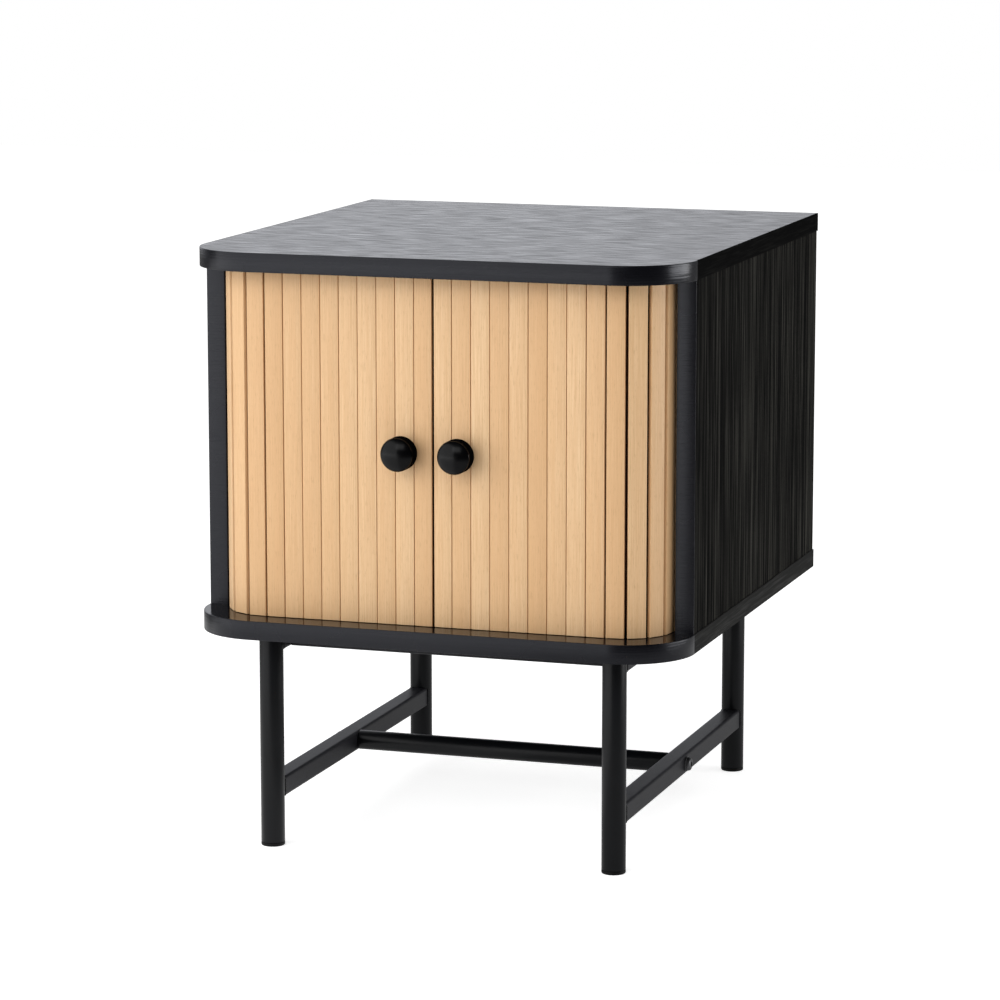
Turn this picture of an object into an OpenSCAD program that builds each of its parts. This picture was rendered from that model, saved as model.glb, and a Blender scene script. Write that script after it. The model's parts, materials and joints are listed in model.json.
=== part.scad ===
// Bedside table with two tambour doors on a steel tube base. Millimetres.
// X right, Y back, Z up. Origin on the floor under the middle of the top. The front faces -Y.

/* [Cabinet] */
// overall width of the top and bottom boards
cabinet_w = 400; // [360:1:520]
// overall depth of the top and bottom boards
cabinet_d = 440; // [380:1:520]
// thickness of the top, bottom and side boards
board_t = 15; // [12:0.5:22]
// clear height between bottom and top board
side_h = 273; // [200:1:380]
// radius of the boards' front corners
panel_corner_r = 55; // [20:1:60]
// how far the side panels' front edges stand behind the boards' front edge
side_setback = 56; // [50:1:60]
// how far the boards stand out past the side panels
side_overhang = 1; // [0:0.5:4]
// thickness of the edge bands
edge_band_t = 1; // [0.5:0.1:2]

/* [Inside] */
// thickness of the back panel
back_t = 6; // [3:0.5:10]
// back panel's distance from the rear edge
back_inset = 7; // [4:1:15]
// depth of the back panel's grooves in the side panels
back_groove = 5; // [3:0.5:7]
// thickness of the inner panels beside the compartment
inner_t = 9; // [8:0.5:12]
// clear space between side panel and inner panel
stow_w = 12; // [11:0.5:16]
// how far the inner panels start behind the front edge
inner_setback = 74; // [72:1:90]
// depth of the grooves that hold the inner panels
inner_groove = 3; // [2:0.5:5]
// thickness of the shelf
shelf_t = 15; // [10:1:18]
// how far the shelf starts behind the front edge
shelf_setback = 64; // [62:1:90]
// height of the shelf's underside over the bottom board
shelf_rise = 129; // [60:1:180]
// play at each end and at the back of the shelf
shelf_play = 0.5; // [0.3:0.1:1]
// play round the back panel in its grooves
back_play = 0.25; // [0.1:0.05:0.5]
// diameter of the shelf pins
pin_d = 5; // [4:0.5:6]
// depth of the pins in the inner panels
pin_in = 6; // [4:0.5:7]
// length of the pins under the shelf
pin_out = 8; // [6:0.5:12]
// distance of the pins from the shelf's front and rear edges
pin_inset = 37; // [20:1:60]
// diameter of the wooden dowels
dowel_d = 8; // [6:0.5:8]
// depth of the dowels in top and bottom board
dowel_in_board = 9; // [7:0.5:10]
// depth of the dowels in the side panels
dowel_in_side = 20; // [12:1:25]
// free depth behind each dowel end
dowel_play = 1; // [0.5:0.1:2]
// front dowels' distance in front of the middle
dowel_front = 60; // [50:1:70]
// rear dowels' distance behind the middle
dowel_rear = 120; // [100:1:140]
// diameter of the cam discs
cam_d = 15; // [12:0.5:15]
// depth of the cam discs in the side panels
cam_t = 11; // [9:0.5:11.5]
// distance of the cams from the side panels' ends
cam_rise = 34; // [24:1:40]
// front cams' distance behind the middle
cam_front = 20; // [5:1:40]
// rear cams' distance behind the middle
cam_rear = 170; // [150:1:175]
// diameter of the cam bolts' thread
cam_bolt_d = 6; // [5:0.5:7]
// depth of the cam bolts in top and bottom board
cam_bolt_in = 10; // [8:0.5:11]
// diameter of the cam bolts' shank
cam_shank_d = 5; // [4:0.5:5]
// length of the cam bolts' head
cam_head_h = 4; // [3:0.5:6]
// play round the cam bolts in the side panels
cam_play = 0.5; // [0.3:0.1:1]
// length of a cross recess as a share of its head's diameter
recess_share = 0.55; // [0.4:0.05:0.7]
// width of the arms of a cross recess
recess_w = 1.2; // [0.8:0.1:1.6]
// depth of a cross recess
recess_depth = 1.2; // [0.8:0.1:1.6]

/* [Tambour doors] */
// straight track between the end of the bend and the slats stowed along the side
tail_lead = 2.5; // [1:0.5:6]
// gap between neighbouring slats on the flat, at their faces
slat_gap = 1; // [0.8:0.1:1.6]
// gap between neighbouring slats at the canvas
slat_back_gap = 4.3; // [4.1:0.1:5]
// thickness of a slat
slat_t = 5; // [4.5:0.1:5.5]
// height of the bevel at the slat's back edges
slat_bevel = 2.25; // [2:0.05:2.6]
// distance of the slats' faces behind the boards' front edge
slat_inset = 22; // [18:0.5:26]
// free height over and under a slat
slat_play = 0.3; // [0.2:0.05:0.6]
// bend radius of the canvas at the corner
bend_r = 34; // [33:0.5:38]
// gap between stowed slats and side panel
run_gap = 2; // [1.5:0.5:3]
// depth of the relief in the side panels that the turning slats need
relief = 5; // [4.8:0.1:6]
// full thickness that is left behind a side panel's edge band
relief_lip = 0.2; // [0.2:0.1:1]
// length over which the relief deepens behind the lip
relief_in_l = 12.8; // [8:0.2:12.8]
// length of the relief at full depth
relief_flat_l = 48; // [48:1:60]
// length over which the relief runs out
relief_out_l = 22; // [22:1:40]
// thickness of the tongues at the slats' ends
tongue_t = 3; // [2:0.5:4]
// distance of a tongue's sides from the slat's back edges
tongue_trim = 1; // [0.5:0.1:2]
// length of a tongue
tongue_h = 5; // [3:0.5:6]
// play beside a tongue in its groove
groove_play = 0.75; // [0.3:0.05:1]
// free depth behind a tongue
groove_free = 1; // [0.5:0.1:2]
// distance of the side grooves' rear ends behind the front edge
groove_end = 200; // [190:1:240]
// thickness of the canvas
canvas_t = 0.6; // [0.4:0.1:1]
// distance of the canvas from the slats' ends
canvas_inset = 8; // [4:1:20]
// distance of a canvas strip's edges from the last slat's edges
canvas_trim = 2; // [1:0.5:4]

/* [Knobs] */
// diameter of a knob
knob_d = 26.5; // [20:0.5:30]
// how far a knob stands off the slats
knob_h = 24; // [22:0.5:30]
// distance of the knob's back from the slats
knob_back_h = 9; // [7:0.5:10]
// radius of the knob's domed face
knob_dome_r = 22; // [20:0.5:30]
// radius of the knob's rims
knob_rim_r = 3; // [1.5:0.1:3]
// diameter of the knob's waist
knob_waist_d = 10; // [8:0.5:14]
// radius of the waist's hollow curve
knob_waist_r = 5.5; // [5.5:0.5:8]
// diameter of the knob screw
knob_screw_d = 4; // [3:0.5:5]
// depth of the screw in the knob
knob_screw_in = 12; // [8:0.5:14]
// diameter of the screw's head
knob_screw_head_d = 8; // [6:0.5:10]
// thickness of the screw's head
knob_screw_head_h = 2.4; // [1.5:0.1:3]
// play round the screw in slat and canvas
knob_screw_play = 0.25; // [0.1:0.05:0.5]

/* [Base frame] */
// clear height from the floor to the bottom board
leg_h = 173; // [120:1:260]
// diameter of the legs
leg_d = 19; // [16:0.5:28]
// wall thickness of the legs
leg_wall = 1.5; // [1:0.1:2.5]
// distance of the legs' axes from the boards' sides
leg_inset = 59; // [50:1:80]
// front legs' distance behind the front edge
front_leg_inset = 39.2; // [25:0.2:70]
// rear legs' distance before the rear edge
rear_leg_inset = 42.2; // [25:0.2:70]
// width and height of the square tubes
tube_s = 16; // [12:0.5:18]
// wall thickness of the square tubes
tube_wall = 1.5; // [1:0.1:2.5]
// height of the stretchers' middle over the floor
stretcher_z = 46; // [30:1:90]
// distance of the front top rail's face behind the front edge
front_rail_inset = 62; // [52:1:120]
// diameter of the round cross rail
cross_d = 16; // [12:0.5:16]
// wall thickness of the cross rail
cross_wall = 1.5; // [1:0.1:2.5]
// length of the threaded ends in the cross rail
cross_end_l = 22; // [18:1:40]
// diameter of the cross rail bolts
bolt_d = 6; // [5:0.5:8]
// thread length in the cross rail
bolt_in = 14; // [8:1:17]
// play round the bolt in the stretcher
bolt_play = 0.25; // [0.1:0.05:0.5]
// diameter of the bolt heads
bolt_head_d = 11; // [10:0.5:13]
// thickness of the bolt heads
bolt_head_h = 3.3; // [2.5:0.1:4]
// height of the slope round a bolt head
bolt_slope_h = 1; // [0.5:0.1:1.5]
// width of the slope round a bolt head
bolt_slope_w = 1.5; // [0.5:0.1:2]
// hexagon key size of the bolts
bolt_key = 4; // [3:0.5:5]
// depth of the hexagon socket
bolt_key_h = 2; // [1:0.1:2.5]
// diameter of the washers
washer_d = 12.5; // [11:0.5:14]
// thickness of the washers
washer_t = 1.2; // [0.8:0.1:2]
// height of the foot caps' rims
foot_rim_h = 3; // [2:0.5:6]
// height of the foot caps' plugs in the legs
foot_plug_h = 12; // [6:1:20]
// diameter of the frame screws
frame_screw_d = 4.5; // [3.5:0.5:6]
// depth of the frame screws in the bottom board
frame_screw_in = 9; // [6:0.5:11]
// play round the frame screws in the top rails
frame_screw_play = 0.25; // [0.1:0.05:0.5]
// diameter of the frame screws' heads
frame_screw_head_d = 9; // [7:0.5:12]
// thickness of the frame screws' heads
frame_screw_head_h = 2.6; // [1.5:0.1:3]
// distance of the frame screws from the middle, front and back
frame_screw_y = 100; // [60:1:120]

/* [Hidden] */
$fn = 48;
eps = 0.01;
front_y = -cabinet_d / 2;
rear_y = cabinet_d / 2;
bottom_z = leg_h;
floor_z = leg_h + board_t;
ceil_z = floor_z + side_h;
mid_z = (floor_z + ceil_z) / 2;
side_out_x = cabinet_w / 2 - side_overhang;
side_in_x = side_out_x - board_t;
side_mid_x = side_in_x + board_t / 2;
side_front_y = front_y + side_setback;
back_front_y = rear_y - back_inset - back_t;
inner_out_x = side_in_x - stow_w;
inner_in_x = inner_out_x - inner_t;
shelf_z = floor_z + shelf_rise;
shelf_front_y = front_y + shelf_setback;
shelf_rear_y = back_front_y - shelf_play;
canvas_y = front_y + slat_inset + slat_t;
bend_x = side_in_x - run_gap - slat_t - bend_r;
bend_l = bend_r * PI / 2;
lead_count = 3;
bend_count = 13;
slat_pitch = (bend_x + bend_l + tail_lead) / bend_count;
slat_w = slat_pitch - slat_gap;
slat_back_w = slat_pitch - slat_back_gap;
slat_h = side_h - 2 * slat_play;
tongue_w = slat_back_w - 2 * tongue_trim;
groove_w = tongue_t + 2 * groove_play;
groove_h = slat_play + tongue_h + groove_free;
groove_y = canvas_y - tongue_t / 2;
groove_r = bend_r + tongue_t / 2;
knob_x = lead_count / 2 * slat_pitch;
stretcher_bottom_z = stretcher_z - tube_s / 2;
leg_x = cabinet_w / 2 - leg_inset;
front_leg_y = front_y + front_leg_inset;
rear_leg_y = rear_y - rear_leg_inset;
cross_half_l = leg_x - tube_s / 2;
front_rail_y = front_y + front_rail_inset;
bolt_face_x = leg_x + tube_s / 2;

// The canvas line of a door, measured as a length from the start of the bend.
function on_path(c) =
  c <= 0 ? [bend_x + c, canvas_y]
  : c <= bend_l ? [bend_x + bend_r * sin(c / bend_r * 180 / PI),
                   canvas_y + bend_r * (1 - cos(c / bend_r * 180 / PI))]
  : [bend_x + bend_r, canvas_y + bend_r + c - bend_l];
function slat_start(k) = on_path((k - 1) * slat_pitch - bend_x);
function slat_end(k) = on_path(k * slat_pitch - bend_x);
function slat_mid(k) = (slat_start(k) + slat_end(k)) / 2;
function slat_turn(k) = atan2(slat_end(k)[1] - slat_start(k)[1], slat_end(k)[0] - slat_start(k)[0]);

// ---- boards ----

// Outline of top and bottom, moved in by e at the front and the sides.
module board_outline(e) {
  w = cabinet_w - 2 * e;
  r = panel_corner_r - e;
  difference() {
    translate([-w / 2, front_y + e]) square([w, cabinet_d - e]);
    for (s = [-1, 1])
      translate([s * (w / 2 - r), front_y + e + r])
        difference() {
          translate([s > 0 ? 0 : -r - 1, -r - 1]) square([r + 1, r + 1]);
          circle(r = r, $fn = 96);
        }
  }
}

module edge_band(z) {
  translate([0, 0, z])
    linear_extrude(board_t)
      difference() {
        board_outline(0);
        board_outline(edge_band_t);
      }
}

// Track of both doors: straight across the front, round each corner, back along the side.
module groove_path() {
  translate([-bend_x, groove_y - groove_w / 2]) square([2 * bend_x, groove_w]);
  for (s = [-1, 1]) {
    translate([s * bend_x, canvas_y + bend_r])
      intersection() {
        difference() {
          circle(r = groove_r + groove_w / 2, $fn = 96);
          circle(r = groove_r - groove_w / 2, $fn = 96);
        }
        translate([s > 0 ? 0 : -groove_r - groove_w, -groove_r - groove_w])
          square([groove_r + groove_w, groove_r + groove_w]);
      }
    translate([s * (bend_x + groove_r) - groove_w / 2, canvas_y + bend_r])
      square([groove_w, groove_end - slat_inset - slat_t - bend_r]);
  }
}

// Cuts in a board's inner face, drawn as for the bottom board: the face is at z = 0, cuts go down.
module board_cuts() {
  translate([0, 0, -groove_h]) linear_extrude(groove_h + 1) groove_path();
  for (s = [-1, 1]) {
    translate([s * (inner_in_x + inner_t / 2) - inner_t / 2, front_y + inner_setback, -inner_groove])
      cube([inner_t, back_front_y - front_y - inner_setback, inner_groove + 1]);
    for (y = [-dowel_front, dowel_rear])
      translate([s * side_mid_x, y, -dowel_in_board - dowel_play])
        cylinder(d = dowel_d, h = dowel_in_board + dowel_play + 1);
    for (y = [cam_front, cam_rear])
      translate([s * side_mid_x, y, -cam_bolt_in])
        cylinder(d = cam_bolt_d, h = cam_bolt_in + 1);
  }
}

module top_panel() color([0.18, 0.18, 0.19]) {
  difference() {
    translate([0, 0, ceil_z]) linear_extrude(board_t) board_outline(edge_band_t);
    translate([0, 0, ceil_z]) mirror([0, 0, 1]) board_cuts();
  }
}

module bottom_panel() color([0.18, 0.18, 0.19]) {
  difference() {
    translate([0, 0, bottom_z]) linear_extrude(board_t) board_outline(edge_band_t);
    translate([0, 0, floor_z]) board_cuts();
    for (s = [-1, 1])
      for (y = [-frame_screw_y, frame_screw_y])
        translate([s * leg_x, y, bottom_z - 1]) cylinder(d = frame_screw_d, h = frame_screw_in + 1);
  }
}

module top_edge_band() color([0.2, 0.2, 0.22]) edge_band(ceil_z);

module bottom_edge_band() color([0.2, 0.2, 0.22]) edge_band(bottom_z);

// Plan of a side panel, on the right: relief for the turning slats, groove for the back.
module side_plan() {
  lip_y = side_front_y + edge_band_t + relief_lip;
  deep_y = lip_y + relief_in_l;
  rise_y = deep_y + relief_flat_l;
  out_y = rise_y + relief_out_l;
  difference() {
    translate([side_in_x, side_front_y + edge_band_t])
      square([board_t, cabinet_d - side_setback - edge_band_t]);
    translate([side_in_x, 0])
      polygon([[-1, lip_y], [0, lip_y], [relief, deep_y], [relief, rise_y], [0, out_y], [-1, out_y]]);
    translate([side_in_x - 1, back_front_y - back_play])
      square([back_groove + 1, back_t + 2 * back_play]);
  }
}

module side_panel(s) {
  difference() {
    translate([0, 0, floor_z])
      linear_extrude(side_h)
        mirror([s < 0 ? 1 : 0, 0]) side_plan();
    for (y = [-dowel_front, dowel_rear])
      for (m = [0, 1])
        translate([s * side_mid_x, y, m ? ceil_z - dowel_in_side - dowel_play : floor_z - 1])
          cylinder(d = dowel_d, h = dowel_in_side + dowel_play + 1);
    for (y = [cam_front, cam_rear])
      for (m = [0, 1]) {
        translate([s * (side_in_x - 1), y, m ? ceil_z - cam_rise : floor_z + cam_rise])
          rotate([0, s * 90, 0]) cylinder(d = cam_d, h = cam_t + 1);
        translate([s * side_mid_x, y, m ? ceil_z - cam_rise : floor_z - 1])
          cylinder(d = cam_bolt_d + 2 * cam_play, h = cam_rise + 1);
      }
  }
}

module left_side_panel() color([0.13, 0.13, 0.13]) side_panel(-1);

module right_side_panel() color([0.13, 0.13, 0.13]) side_panel(1);

module front_band(s) {
  translate([s * side_mid_x - board_t / 2, side_front_y, floor_z])
    cube([board_t, edge_band_t, side_h]);
}

module left_front_band() color([0.2, 0.2, 0.22]) front_band(-1);

module right_front_band() color([0.2, 0.2, 0.22]) front_band(1);

module back_panel() color([0.16, 0.16, 0.16]) {
  w = 2 * (side_in_x + back_groove - back_play);
  translate([-w / 2, back_front_y, floor_z]) cube([w, back_t, side_h]);
}

module inner_panel(s) {
  difference() {
    translate([s * (inner_in_x + inner_t / 2) - inner_t / 2, front_y + inner_setback,
               floor_z - inner_groove])
      cube([inner_t, back_front_y - front_y - inner_setback, side_h + 2 * inner_groove]);
    pin_places(s) rotate([0, s * 90, 0]) translate([0, 0, -1]) cylinder(d = pin_d, h = pin_in + 1);
  }
}

module left_inner_panel() color([0.17, 0.17, 0.17]) inner_panel(-1);

module right_inner_panel() color([0.17, 0.17, 0.17]) inner_panel(1);

module shelf() color([0.18, 0.18, 0.19]) {
  translate([-inner_in_x + shelf_play, shelf_front_y, shelf_z])
    cube([2 * (inner_in_x - shelf_play), shelf_rear_y - shelf_front_y, shelf_t]);
}

module pin_places(s) {
  for (y = [front_y + inner_setback + pin_inset, shelf_rear_y - pin_inset])
    translate([s * inner_in_x, y, shelf_z - pin_d / 2]) children();
}

module shelf_pins() color([0.7, 0.7, 0.72]) {
  for (s = [-1, 1])
    pin_places(s)
      rotate([0, s * 90, 0]) translate([0, 0, -pin_out]) cylinder(d = pin_d, h = pin_out + pin_in);
}

module panel_dowels() color([0.85, 0.72, 0.5]) {
  for (s = [-1, 1])
    for (y = [-dowel_front, dowel_rear])
      for (z = [floor_z - dowel_in_board, ceil_z - dowel_in_side])
        translate([s * side_mid_x, y, z]) cylinder(d = dowel_d, h = dowel_in_board + dowel_in_side);
}

// Cross recess for a screwdriver, cut round the middle of a head's face.
module cross_recess(head_d) {
  l = head_d * recess_share;
  cube([l, recess_w, 2 * recess_depth], center = true);
  cube([recess_w, l, 2 * recess_depth], center = true);
}

// One cam disc with its bolt, drawn for the bottom joint: the board's face is at z = 0.
module cam_lock(s) {
  difference() {
    translate([s * side_in_x, 0, cam_rise]) rotate([0, s * 90, 0]) cylinder(d = cam_d, h = cam_t);
    translate([s * side_mid_x, 0, 0]) cylinder(d = cam_bolt_d + 2 * cam_play, h = cam_rise + 1);
    translate([s * side_in_x, 0, cam_rise]) rotate([0, 90, 0]) cross_recess(cam_d);
  }
  translate([s * side_mid_x, 0, -cam_bolt_in]) cylinder(d = cam_bolt_d, h = cam_bolt_in);
  translate([s * side_mid_x, 0, -eps]) cylinder(d = cam_shank_d, h = cam_rise - cam_head_h + 2 * eps);
  translate([s * side_mid_x, 0, cam_rise - cam_head_h]) cylinder(d = cam_bolt_d, h = cam_head_h);
}

module cam_locks() color([0.72, 0.73, 0.75]) {
  for (s = [-1, 1])
    for (y = [cam_front, cam_rear]) {
      translate([0, y, floor_z]) cam_lock(s);
      translate([0, y, ceil_z]) mirror([0, 0, 1]) cam_lock(s);
    }
}

// ---- tambour ----

// A slat's section: canvas side on the X axis, face towards -Y.
module slat_section() {
  polygon([[-slat_back_w / 2, 0], [slat_back_w / 2, 0], [slat_w / 2, -slat_bevel],
           [slat_w / 2, -slat_t], [-slat_w / 2, -slat_t], [-slat_w / 2, -slat_bevel]]);
}

module slat(k, s) {
  translate([s * slat_mid(k)[0], slat_mid(k)[1], floor_z + slat_play])
    rotate([0, 0, s * slat_turn(k)])
      linear_extrude(slat_h) slat_section();
}

// A slat with tongues that run in the grooves of both boards.
module tongued_slat(k, s) {
  slat(k, s);
  translate([s * slat_mid(k)[0], slat_mid(k)[1], floor_z + slat_play - tongue_h])
    rotate([0, 0, s * slat_turn(k)])
      translate([-tongue_w / 2, -tongue_t, 0])
        cube([tongue_w, tongue_t, slat_h + 2 * tongue_h]);
}

module lead_slats(s) {
  tongued_slat(1, s);
  difference() {
    tongued_slat(2, s);
    translate([s * knob_x, canvas_y + 1, mid_z])
      rotate([90, 0, 0]) cylinder(d = knob_screw_d + 2 * knob_screw_play, h = slat_t + 2);
  }
  tongued_slat(3, s);
}

module tail_slats(s) {
  for (k = [14, 15]) tongued_slat(k, s);
}

module lead_canvas(s) {
  w = lead_count * slat_pitch - 2 * canvas_trim;
  difference() {
    translate([s * knob_x - w / 2, canvas_y, floor_z + canvas_inset])
      cube([w, canvas_t, side_h - 2 * canvas_inset]);
    translate([s * knob_x, canvas_y + canvas_t + 1, mid_z])
      rotate([90, 0, 0]) cylinder(d = knob_screw_d + 2 * knob_screw_play, h = canvas_t + 2);
  }
}

module tail_canvas(s) {
  y0 = slat_start(14)[1] + canvas_trim;
  y1 = slat_end(15)[1] - canvas_trim;
  translate([s * (bend_x + bend_r - canvas_t / 2) - canvas_t / 2, y0, floor_z + canvas_inset])
    cube([canvas_t, y1 - y0, side_h - 2 * canvas_inset]);
}

// Half section of a knob: r to the right, height over the slats upwards.
module knob_section() {
  rim_x = knob_d / 2 - knob_rim_r;
  dome_y = knob_h - knob_dome_r;
  front_rim_y = dome_y + sqrt(pow(knob_dome_r - knob_rim_r, 2) - pow(rim_x, 2));
  back_rim_y = knob_back_h + knob_rim_r;
  intersection() {
    translate([0, dome_y]) circle(r = knob_dome_r, $fn = 96);
    polygon([[0, front_rim_y], [rim_x, front_rim_y], [2 * rim_x, 2 * front_rim_y - dome_y],
             [0, 2 * knob_h]]);
  }
  for (y = [front_rim_y, back_rim_y])
    translate([rim_x, y]) circle(r = knob_rim_r);
  translate([0, back_rim_y]) square([knob_d / 2, front_rim_y - back_rim_y]);
  translate([0, knob_back_h]) square([rim_x, front_rim_y - knob_back_h]);
  difference() {
    square([(knob_waist_d + knob_waist_r) / 2, knob_back_h]);
    translate([knob_waist_d / 2 + knob_waist_r, knob_back_h / 2])
      circle(r = knob_waist_r, $fn = 96);
  }
}

module knob(s) {
  translate([s * knob_x, front_y + slat_inset, mid_z])
    rotate([90, 0, 0])
      difference() {
        rotate_extrude($fn = 72) knob_section();
        translate([0, 0, -1]) cylinder(d = knob_screw_d, h = knob_screw_in + 1);
      }
}

module knob_screw(s) {
  translate([s * knob_x, canvas_y + canvas_t, mid_z])
    rotate([90, 0, 0])
      difference() {
        union() {
          translate([0, 0, -knob_screw_head_h])
            cylinder(d = knob_screw_head_d, h = knob_screw_head_h);
          translate([0, 0, -eps])
            cylinder(d = knob_screw_d, h = canvas_t + slat_t + knob_screw_in + eps);
        }
        translate([0, 0, -knob_screw_head_h]) cross_recess(knob_screw_head_d);
      }
}

module left_lead_slats() color([0.86, 0.7, 0.48]) lead_slats(-1);

module left_slat_4() color([0.86, 0.7, 0.48]) slat(4, -1);

module left_slat_5() color([0.86, 0.7, 0.48]) slat(5, -1);

module left_slat_6() color([0.86, 0.7, 0.48]) slat(6, -1);

module left_slat_7() color([0.86, 0.7, 0.48]) slat(7, -1);

module left_slats_8_9() color([0.86, 0.7, 0.48]) {
  slat(8, -1);
  slat(9, -1);
}

module left_slat_10() color([0.86, 0.7, 0.48]) slat(10, -1);

module left_slat_11() color([0.86, 0.7, 0.48]) slat(11, -1);

module left_slat_12() color([0.86, 0.7, 0.48]) slat(12, -1);

module left_slat_13() color([0.86, 0.7, 0.48]) slat(13, -1);

module left_tail_slats() color([0.86, 0.7, 0.48]) tail_slats(-1);

module left_lead_canvas() color([0.25, 0.2, 0.16]) lead_canvas(-1);

module left_tail_canvas() color([0.25, 0.2, 0.16]) tail_canvas(-1);

module left_knob() color([0.06, 0.06, 0.06]) knob(-1);

module left_knob_screw() color([0.7, 0.7, 0.72]) knob_screw(-1);

module right_lead_slats() color([0.86, 0.7, 0.48]) lead_slats(1);

module right_slat_4() color([0.86, 0.7, 0.48]) slat(4, 1);

module right_slat_5() color([0.86, 0.7, 0.48]) slat(5, 1);

module right_slat_6() color([0.86, 0.7, 0.48]) slat(6, 1);

module right_slat_7() color([0.86, 0.7, 0.48]) slat(7, 1);

module right_slats_8_9() color([0.86, 0.7, 0.48]) {
  slat(8, 1);
  slat(9, 1);
}

module right_slat_10() color([0.86, 0.7, 0.48]) slat(10, 1);

module right_slat_11() color([0.86, 0.7, 0.48]) slat(11, 1);

module right_slat_12() color([0.86, 0.7, 0.48]) slat(12, 1);

module right_slat_13() color([0.86, 0.7, 0.48]) slat(13, 1);

module right_tail_slats() color([0.86, 0.7, 0.48]) tail_slats(1);

module right_lead_canvas() color([0.25, 0.2, 0.16]) lead_canvas(1);

module right_tail_canvas() color([0.25, 0.2, 0.16]) tail_canvas(1);

module right_knob() color([0.06, 0.06, 0.06]) knob(1);

module right_knob_screw() color([0.7, 0.7, 0.72]) knob_screw(1);

// ---- base frame ----

module leg(x, y) {
  translate([x, y, foot_rim_h])
    linear_extrude(leg_h - foot_rim_h)
      difference() {
        circle(d = leg_d);
        circle(d = leg_d - 2 * leg_wall);
      }
}

// Square tube from front leg to rear leg, coped to the round legs.
module side_tube(x, z) {
  difference() {
    translate([x, front_leg_y, z + tube_s / 2])
      rotate([-90, 0, 0])
        linear_extrude(rear_leg_y - front_leg_y)
          square_tube();
    for (y = [front_leg_y, rear_leg_y])
      translate([x, y, z - 1]) cylinder(d = leg_d, h = tube_s + 2);
  }
}

module square_tube() {
  difference() {
    square(tube_s, center = true);
    square(tube_s - 2 * tube_wall, center = true);
  }
}

module front_left_leg() color([0.12, 0.12, 0.13]) leg(-leg_x, front_leg_y);

module front_right_leg() color([0.12, 0.12, 0.13]) leg(leg_x, front_leg_y);

module rear_left_leg() color([0.12, 0.12, 0.13]) leg(-leg_x, rear_leg_y);

module rear_right_leg() color([0.12, 0.12, 0.13]) leg(leg_x, rear_leg_y);

module stretcher(s) {
  difference() {
    side_tube(s * leg_x, stretcher_bottom_z);
    translate([s * (leg_x - tube_s / 2 - 1), 0, stretcher_z])
      rotate([0, s * 90, 0]) cylinder(d = bolt_d + 2 * bolt_play, h = tube_s + 2);
  }
}

module left_stretcher() color([0.12, 0.12, 0.13]) stretcher(-1);

module right_stretcher() color([0.12, 0.12, 0.13]) stretcher(1);

module top_rail(s) {
  difference() {
    side_tube(s * leg_x, bottom_z - tube_s);
    for (y = [-frame_screw_y, frame_screw_y])
      translate([s * leg_x, y, bottom_z - tube_s - 1])
        cylinder(d = frame_screw_d + 2 * frame_screw_play, h = tube_s + 2);
  }
}

module left_top_rail() color([0.12, 0.12, 0.13]) top_rail(-1);

module right_top_rail() color([0.12, 0.12, 0.13]) top_rail(1);

module front_top_rail() color([0.12, 0.12, 0.13]) {
  translate([-cross_half_l, front_rail_y + tube_s / 2, bottom_z - tube_s / 2])
    rotate([90, 0, 90])
      linear_extrude(2 * cross_half_l) square_tube();
}

module cross_rail() color([0.12, 0.12, 0.13]) {
  translate([-cross_half_l, 0, stretcher_z])
    rotate([0, 90, 0])
      difference() {
        cylinder(d = cross_d, h = 2 * cross_half_l);
        translate([0, 0, cross_end_l])
          cylinder(d = cross_d - 2 * cross_wall, h = 2 * (cross_half_l - cross_end_l));
        translate([0, 0, -1]) cylinder(d = bolt_d, h = cross_end_l + 2);
        translate([0, 0, 2 * cross_half_l - cross_end_l - 1]) cylinder(d = bolt_d, h = cross_end_l + 2);
      }
}

module cross_rail_bolts() color([0.1, 0.1, 0.1]) {
  for (s = [-1, 1])
    translate([s * (bolt_face_x + washer_t), 0, stretcher_z])
      rotate([0, s * 90, 0])
        difference() {
          union() {
            cylinder(d = bolt_head_d, h = bolt_head_h - bolt_slope_h);
            translate([0, 0, bolt_head_h - bolt_slope_h])
              cylinder(d1 = bolt_head_d, d2 = bolt_head_d - 2 * bolt_slope_w, h = bolt_slope_h);
            translate([0, 0, -washer_t - tube_s - bolt_in])
              cylinder(d = bolt_d, h = washer_t + tube_s + bolt_in + eps);
          }
          translate([0, 0, bolt_head_h - bolt_key_h])
            cylinder(d = bolt_key / cos(30), h = bolt_key_h + 1, $fn = 6);
        }
}

module washers() color([0.1, 0.1, 0.1]) {
  for (s = [-1, 1])
    translate([s * bolt_face_x, 0, stretcher_z])
      rotate([0, s * 90, 0])
        difference() {
          cylinder(d = washer_d, h = washer_t);
          translate([0, 0, -1]) cylinder(d = bolt_d + 2 * bolt_play, h = washer_t + 2);
        }
}

module foot_caps() color([0.08, 0.08, 0.08]) {
  for (x = [-leg_x, leg_x])
    for (y = [front_leg_y, rear_leg_y])
      translate([x, y, 0]) {
        cylinder(d = leg_d, h = foot_rim_h);
        translate([0, 0, foot_rim_h - eps])
          cylinder(d = leg_d - 2 * leg_wall, h = foot_plug_h + eps);
      }
}

module frame_screws() color([0.7, 0.7, 0.72]) {
  for (s = [-1, 1])
    for (y = [-frame_screw_y, frame_screw_y])
      translate([s * leg_x, y, bottom_z - tube_s])
        difference() {
          union() {
            translate([0, 0, -frame_screw_head_h])
              cylinder(d = frame_screw_head_d, h = frame_screw_head_h);
            translate([0, 0, -eps])
              cylinder(d = frame_screw_d, h = tube_s + frame_screw_in + eps);
          }
          translate([0, 0, -frame_screw_head_h]) cross_recess(frame_screw_head_d);
        }
}

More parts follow.
